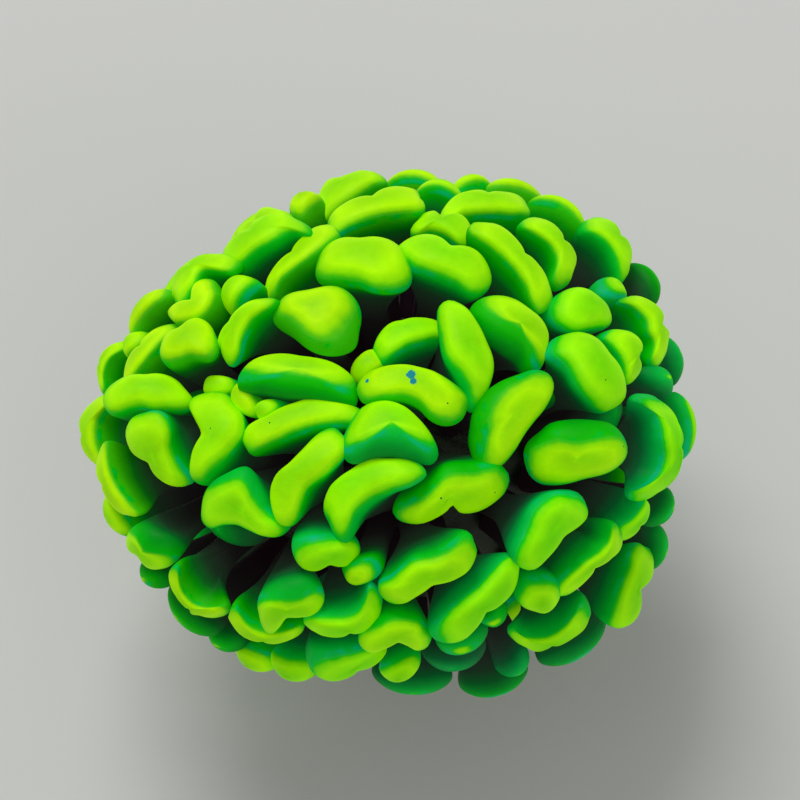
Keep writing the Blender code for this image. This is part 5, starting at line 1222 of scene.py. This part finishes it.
polyp = make_piece("polyp_flesh", [sleeve, *small_shapes], [SLEEVE, FLESH], [0] + [1] * len(small_shapes))
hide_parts("polyp_body")
print("small tentacles:", len(small_shapes), "polyp faces:", len(polyp.data.polygons))

# %% [markdown]
# ## The stony stalk
#
# The skeleton is chalky stone with sharp low ribs down its outside, each in line with a plate inside
# the cup. It was sawn off flat, and the saw shows those plates as pale spokes on the cut. The outside
# is a profile carried round an oval; a rib is a narrow wave of the angle, and grains roughen it.

# %% Ribbed stone with a flat cut
SKELETON_HEIGHT = 11.0 * MM
SKELETON_FOOT = np.array((7.4, 6.6)) * MM
SKELETON_RIM = np.array((8.4, 7.6)) * MM
SKELETON_TOP_MIDDLE = np.array((0.9, 0.2)) * MM
RIBS = 48
RIB_DEPTH = 0.35 * MM
RIB_PART, GRAIN_PART = 0.85, 0.12
STONE_SIDES = 384
CUT_ROWS, SIDE_ROWS, TOP_ROWS = 9, 44, 7
INNERMOST, OUTERMOST = 0.04, 0.97
RIBS_AT_CUT, RIBS_GROW = 0.55, 12
SPOKES_FROM, SPOKES_GROW = 0.2, 4.0
PALE_CHALK = (0.72, 0.69, 0.62, 1.0)
DULL_CHALK = (0.52, 0.46, 0.36, 1.0)
GROOVE_COLOUR = (0.30, 0.27, 0.18, 1.0)
SPOKE_COLOUR = (0.80, 0.78, 0.72, 1.0)
GROOVE_STRENGTH, SPOKE_STRENGTH = 0.55, 0.8
STONE_BLOTCHES = 350.0, 2.6
STONE_GRAIN = 2400.0, 2.0
STONE_ROUGHNESS = 0.7, 0.95
STONE_BUMP = 0.12 * MM


def stone_shape():
    """Rows go out over the cut, up the side and in over the top. On the side the half sizes swell
    from foot to rim as a smooth step of height, the middle shifts with height squared, and each
    radius loses rib depth times the rib wave and a small grain wave, a little less at the cut."""
    outwards = np.linspace(INNERMOST, OUTERMOST, CUT_ROWS)
    inwards = np.linspace(OUTERMOST, INNERMOST, TOP_ROWS)
    share = np.concatenate((outwards, np.ones(SIDE_ROWS), inwards))[:, None]
    climb = np.concatenate((np.zeros(CUT_ROWS), np.linspace(0.0, 1.0, SIDE_ROWS), np.ones(TOP_ROWS)))[:, None]
    angle = 2 * math.pi * np.arange(STONE_SIDES)[None, :] / STONE_SIDES
    swell = fall(1.0 - climb)
    rib = 1.0 - np.abs(np.cos(angle * RIBS / 2)) ** 3 * (0.75 + 0.25 * np.cos(angle * RIBS / 4) ** 2)
    grain = np.sin(angle * 97 + 9 * np.sin(climb * 40)) * np.sin(climb * 130 + 3 * np.sin(angle * 31))
    loss = RIB_DEPTH * (RIB_PART * rib + GRAIN_PART * (1.0 + grain))
    loss = loss * np.minimum(1.0, RIBS_GROW * climb + RIBS_AT_CUT)
    x, y = (
        SKELETON_TOP_MIDDLE[k] * climb**2
        + share * (SKELETON_FOOT[k] + (SKELETON_RIM - SKELETON_FOOT)[k] * swell - loss) * way
        for k, way in enumerate((np.cos(angle), np.sin(angle)))
    )
    points = np.stack((x, y, SKELETON_HEIGHT * climb + 0 * x), axis=-1)
    spoke = (1.0 - rib) * (climb == 0.0) * np.clip(SPOKES_GROW * (share - SPOKES_FROM), 0.0, 1.0)
    groove = rib * (climb > 0.0) + 0 * x
    return closed_shape(points, {"spoke": spoke + 0 * x, "groove": groove})


def stone_material():
    """Chalk with mottle, darker and greener in the grooves, paler along the spokes of the cut."""
    material, tree, shader, position, roughness, height = new_material(
        "coral_stone", STONE_ROUGHNESS, STONE_BUMP
    )
    spoke, groove = at_corner(tree, "spoke"), at_corner(tree, "groove")
    blotches = mottle(tree, MOTTLE, position, *STONE_BLOTCHES)
    colour = mix_colour(tree, blotches, DULL_CHALK, PALE_CHALK)
    colour = mix_colour(tree, calculate(tree, "MULTIPLY", groove, GROOVE_STRENGTH), colour, GROOVE_COLOUR)
    colour = mix_colour(tree, calculate(tree, "MULTIPLY", spoke, SPOKE_STRENGTH), colour, SPOKE_COLOUR)
    link(tree, colour, shader.inputs["Base Color"])
    link(tree, blotches, roughness)
    link(tree, mottle(tree, MOTTLE, position, *STONE_GRAIN), height)
    return material


stone = make_piece("skeleton_stone", [stone_shape()], [stone_material()], [0])
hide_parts("skeleton")
print("stone faces:", len(stone.data.polygons))

# %% [markdown]
# ## Floor, light and camera
#
# A plain pale floor carries the cut foot. It is one square, so wide that its edges stay out of sight.

# %% Floor
FLOOR_HALF = 1.5
floor_mesh = bpy.data.meshes.new("floor")
floor_corners = [(FLOOR_HALF * x, FLOOR_HALF * y, 0) for x, y in ((-1, -1), (1, -1), (1, 1), (-1, 1))]
floor_mesh.from_pydata(floor_corners, [], [(0, 1, 2, 3)])
floor = bpy.data.objects.new("floor", floor_mesh)
bpy.context.scene.collection.objects.link(floor)
floor_material = bpy.data.materials.new("pale_floor")
floor_material.use_nodes = True
floor_shader = floor_material.node_tree.nodes["Principled BSDF"]
floor_shader.inputs["Base Color"].default_value = (0.72, 0.72, 0.70, 1.0)
floor_shader.inputs["Roughness"].default_value = 0.7
floor_mesh.materials.append(floor_material)
print("floor, m:", 2 * FLOOR_HALF)

# %% [markdown]
# A wide soft lamp stands above and behind the head, so that the upper edges of the tips are bright and
# their lower sides fall off. A weak one in front and a pale sky fill in the rest. The camera looks
# along the view from well back, through a long lens, so that near and far tips keep their sizes.

# %% Light and camera
LAMPS = (
    ("key", (-0.10, 0.26, 0.42), 0.22, 1.2),
    ("fill", (0.30, -0.35, 0.30), 0.40, 0.25),
)
SKY_COLOUR = (1.0, 1.0, 1.0, 1.0)
SKY_STRENGTH = 0.36
CAMERA_AWAY = 368.0 * MM
CAMERA_ASIDE = 0.68 * MM
CAMERA_ABOVE = 1.81 * MM
CAMERA_LENS = 292.5
CAMERA_SENSOR = 36.0


def aim(item, place, target):
    """Put a lamp or camera at a place and turn its -Z to the target, its Y as far up as it can be."""
    forward = unit(target - place)
    right = unit(np.cross(forward, UP))
    above = np.cross(right, forward)
    turn = Matrix((right, above, -forward)).transposed().to_4x4()
    item.matrix_world = Matrix.Translation(place) @ turn


def add_lamp(name, place, size, power):
    """A square soft lamp that looks at the head."""
    data = bpy.data.lights.new(name, "AREA")
    data.size = size
    data.energy = power
    lamp = bpy.data.objects.new(name, data)
    bpy.context.scene.collection.objects.link(lamp)
    aim(lamp, np.array(place), HEAD_CENTRE)


for row in LAMPS:
    add_lamp(*row)

world = bpy.data.worlds.new("studio")
world.use_nodes = True
sky = world.node_tree.nodes["Background"]
sky.inputs["Color"].default_value = SKY_COLOUR
sky.inputs["Strength"].default_value = SKY_STRENGTH
bpy.context.scene.world = world

camera_data = bpy.data.cameras.new("camera")
camera_data.lens = CAMERA_LENS
camera_data.sensor_width = CAMERA_SENSOR
camera = bpy.data.objects.new("camera", camera_data)
bpy.context.scene.collection.objects.link(camera)
looked_at = HEAD_CENTRE + CAMERA_ASIDE * RIGHT + CAMERA_ABOVE * UP
aim(camera, looked_at + CAMERA_AWAY * TOWARDS, looked_at)
bpy.context.scene.camera = camera
bpy.context.scene.view_settings.view_transform = "Standard"
print("camera at, mm:", np.round(np.array(camera.matrix_world.translation) / MM, 1))
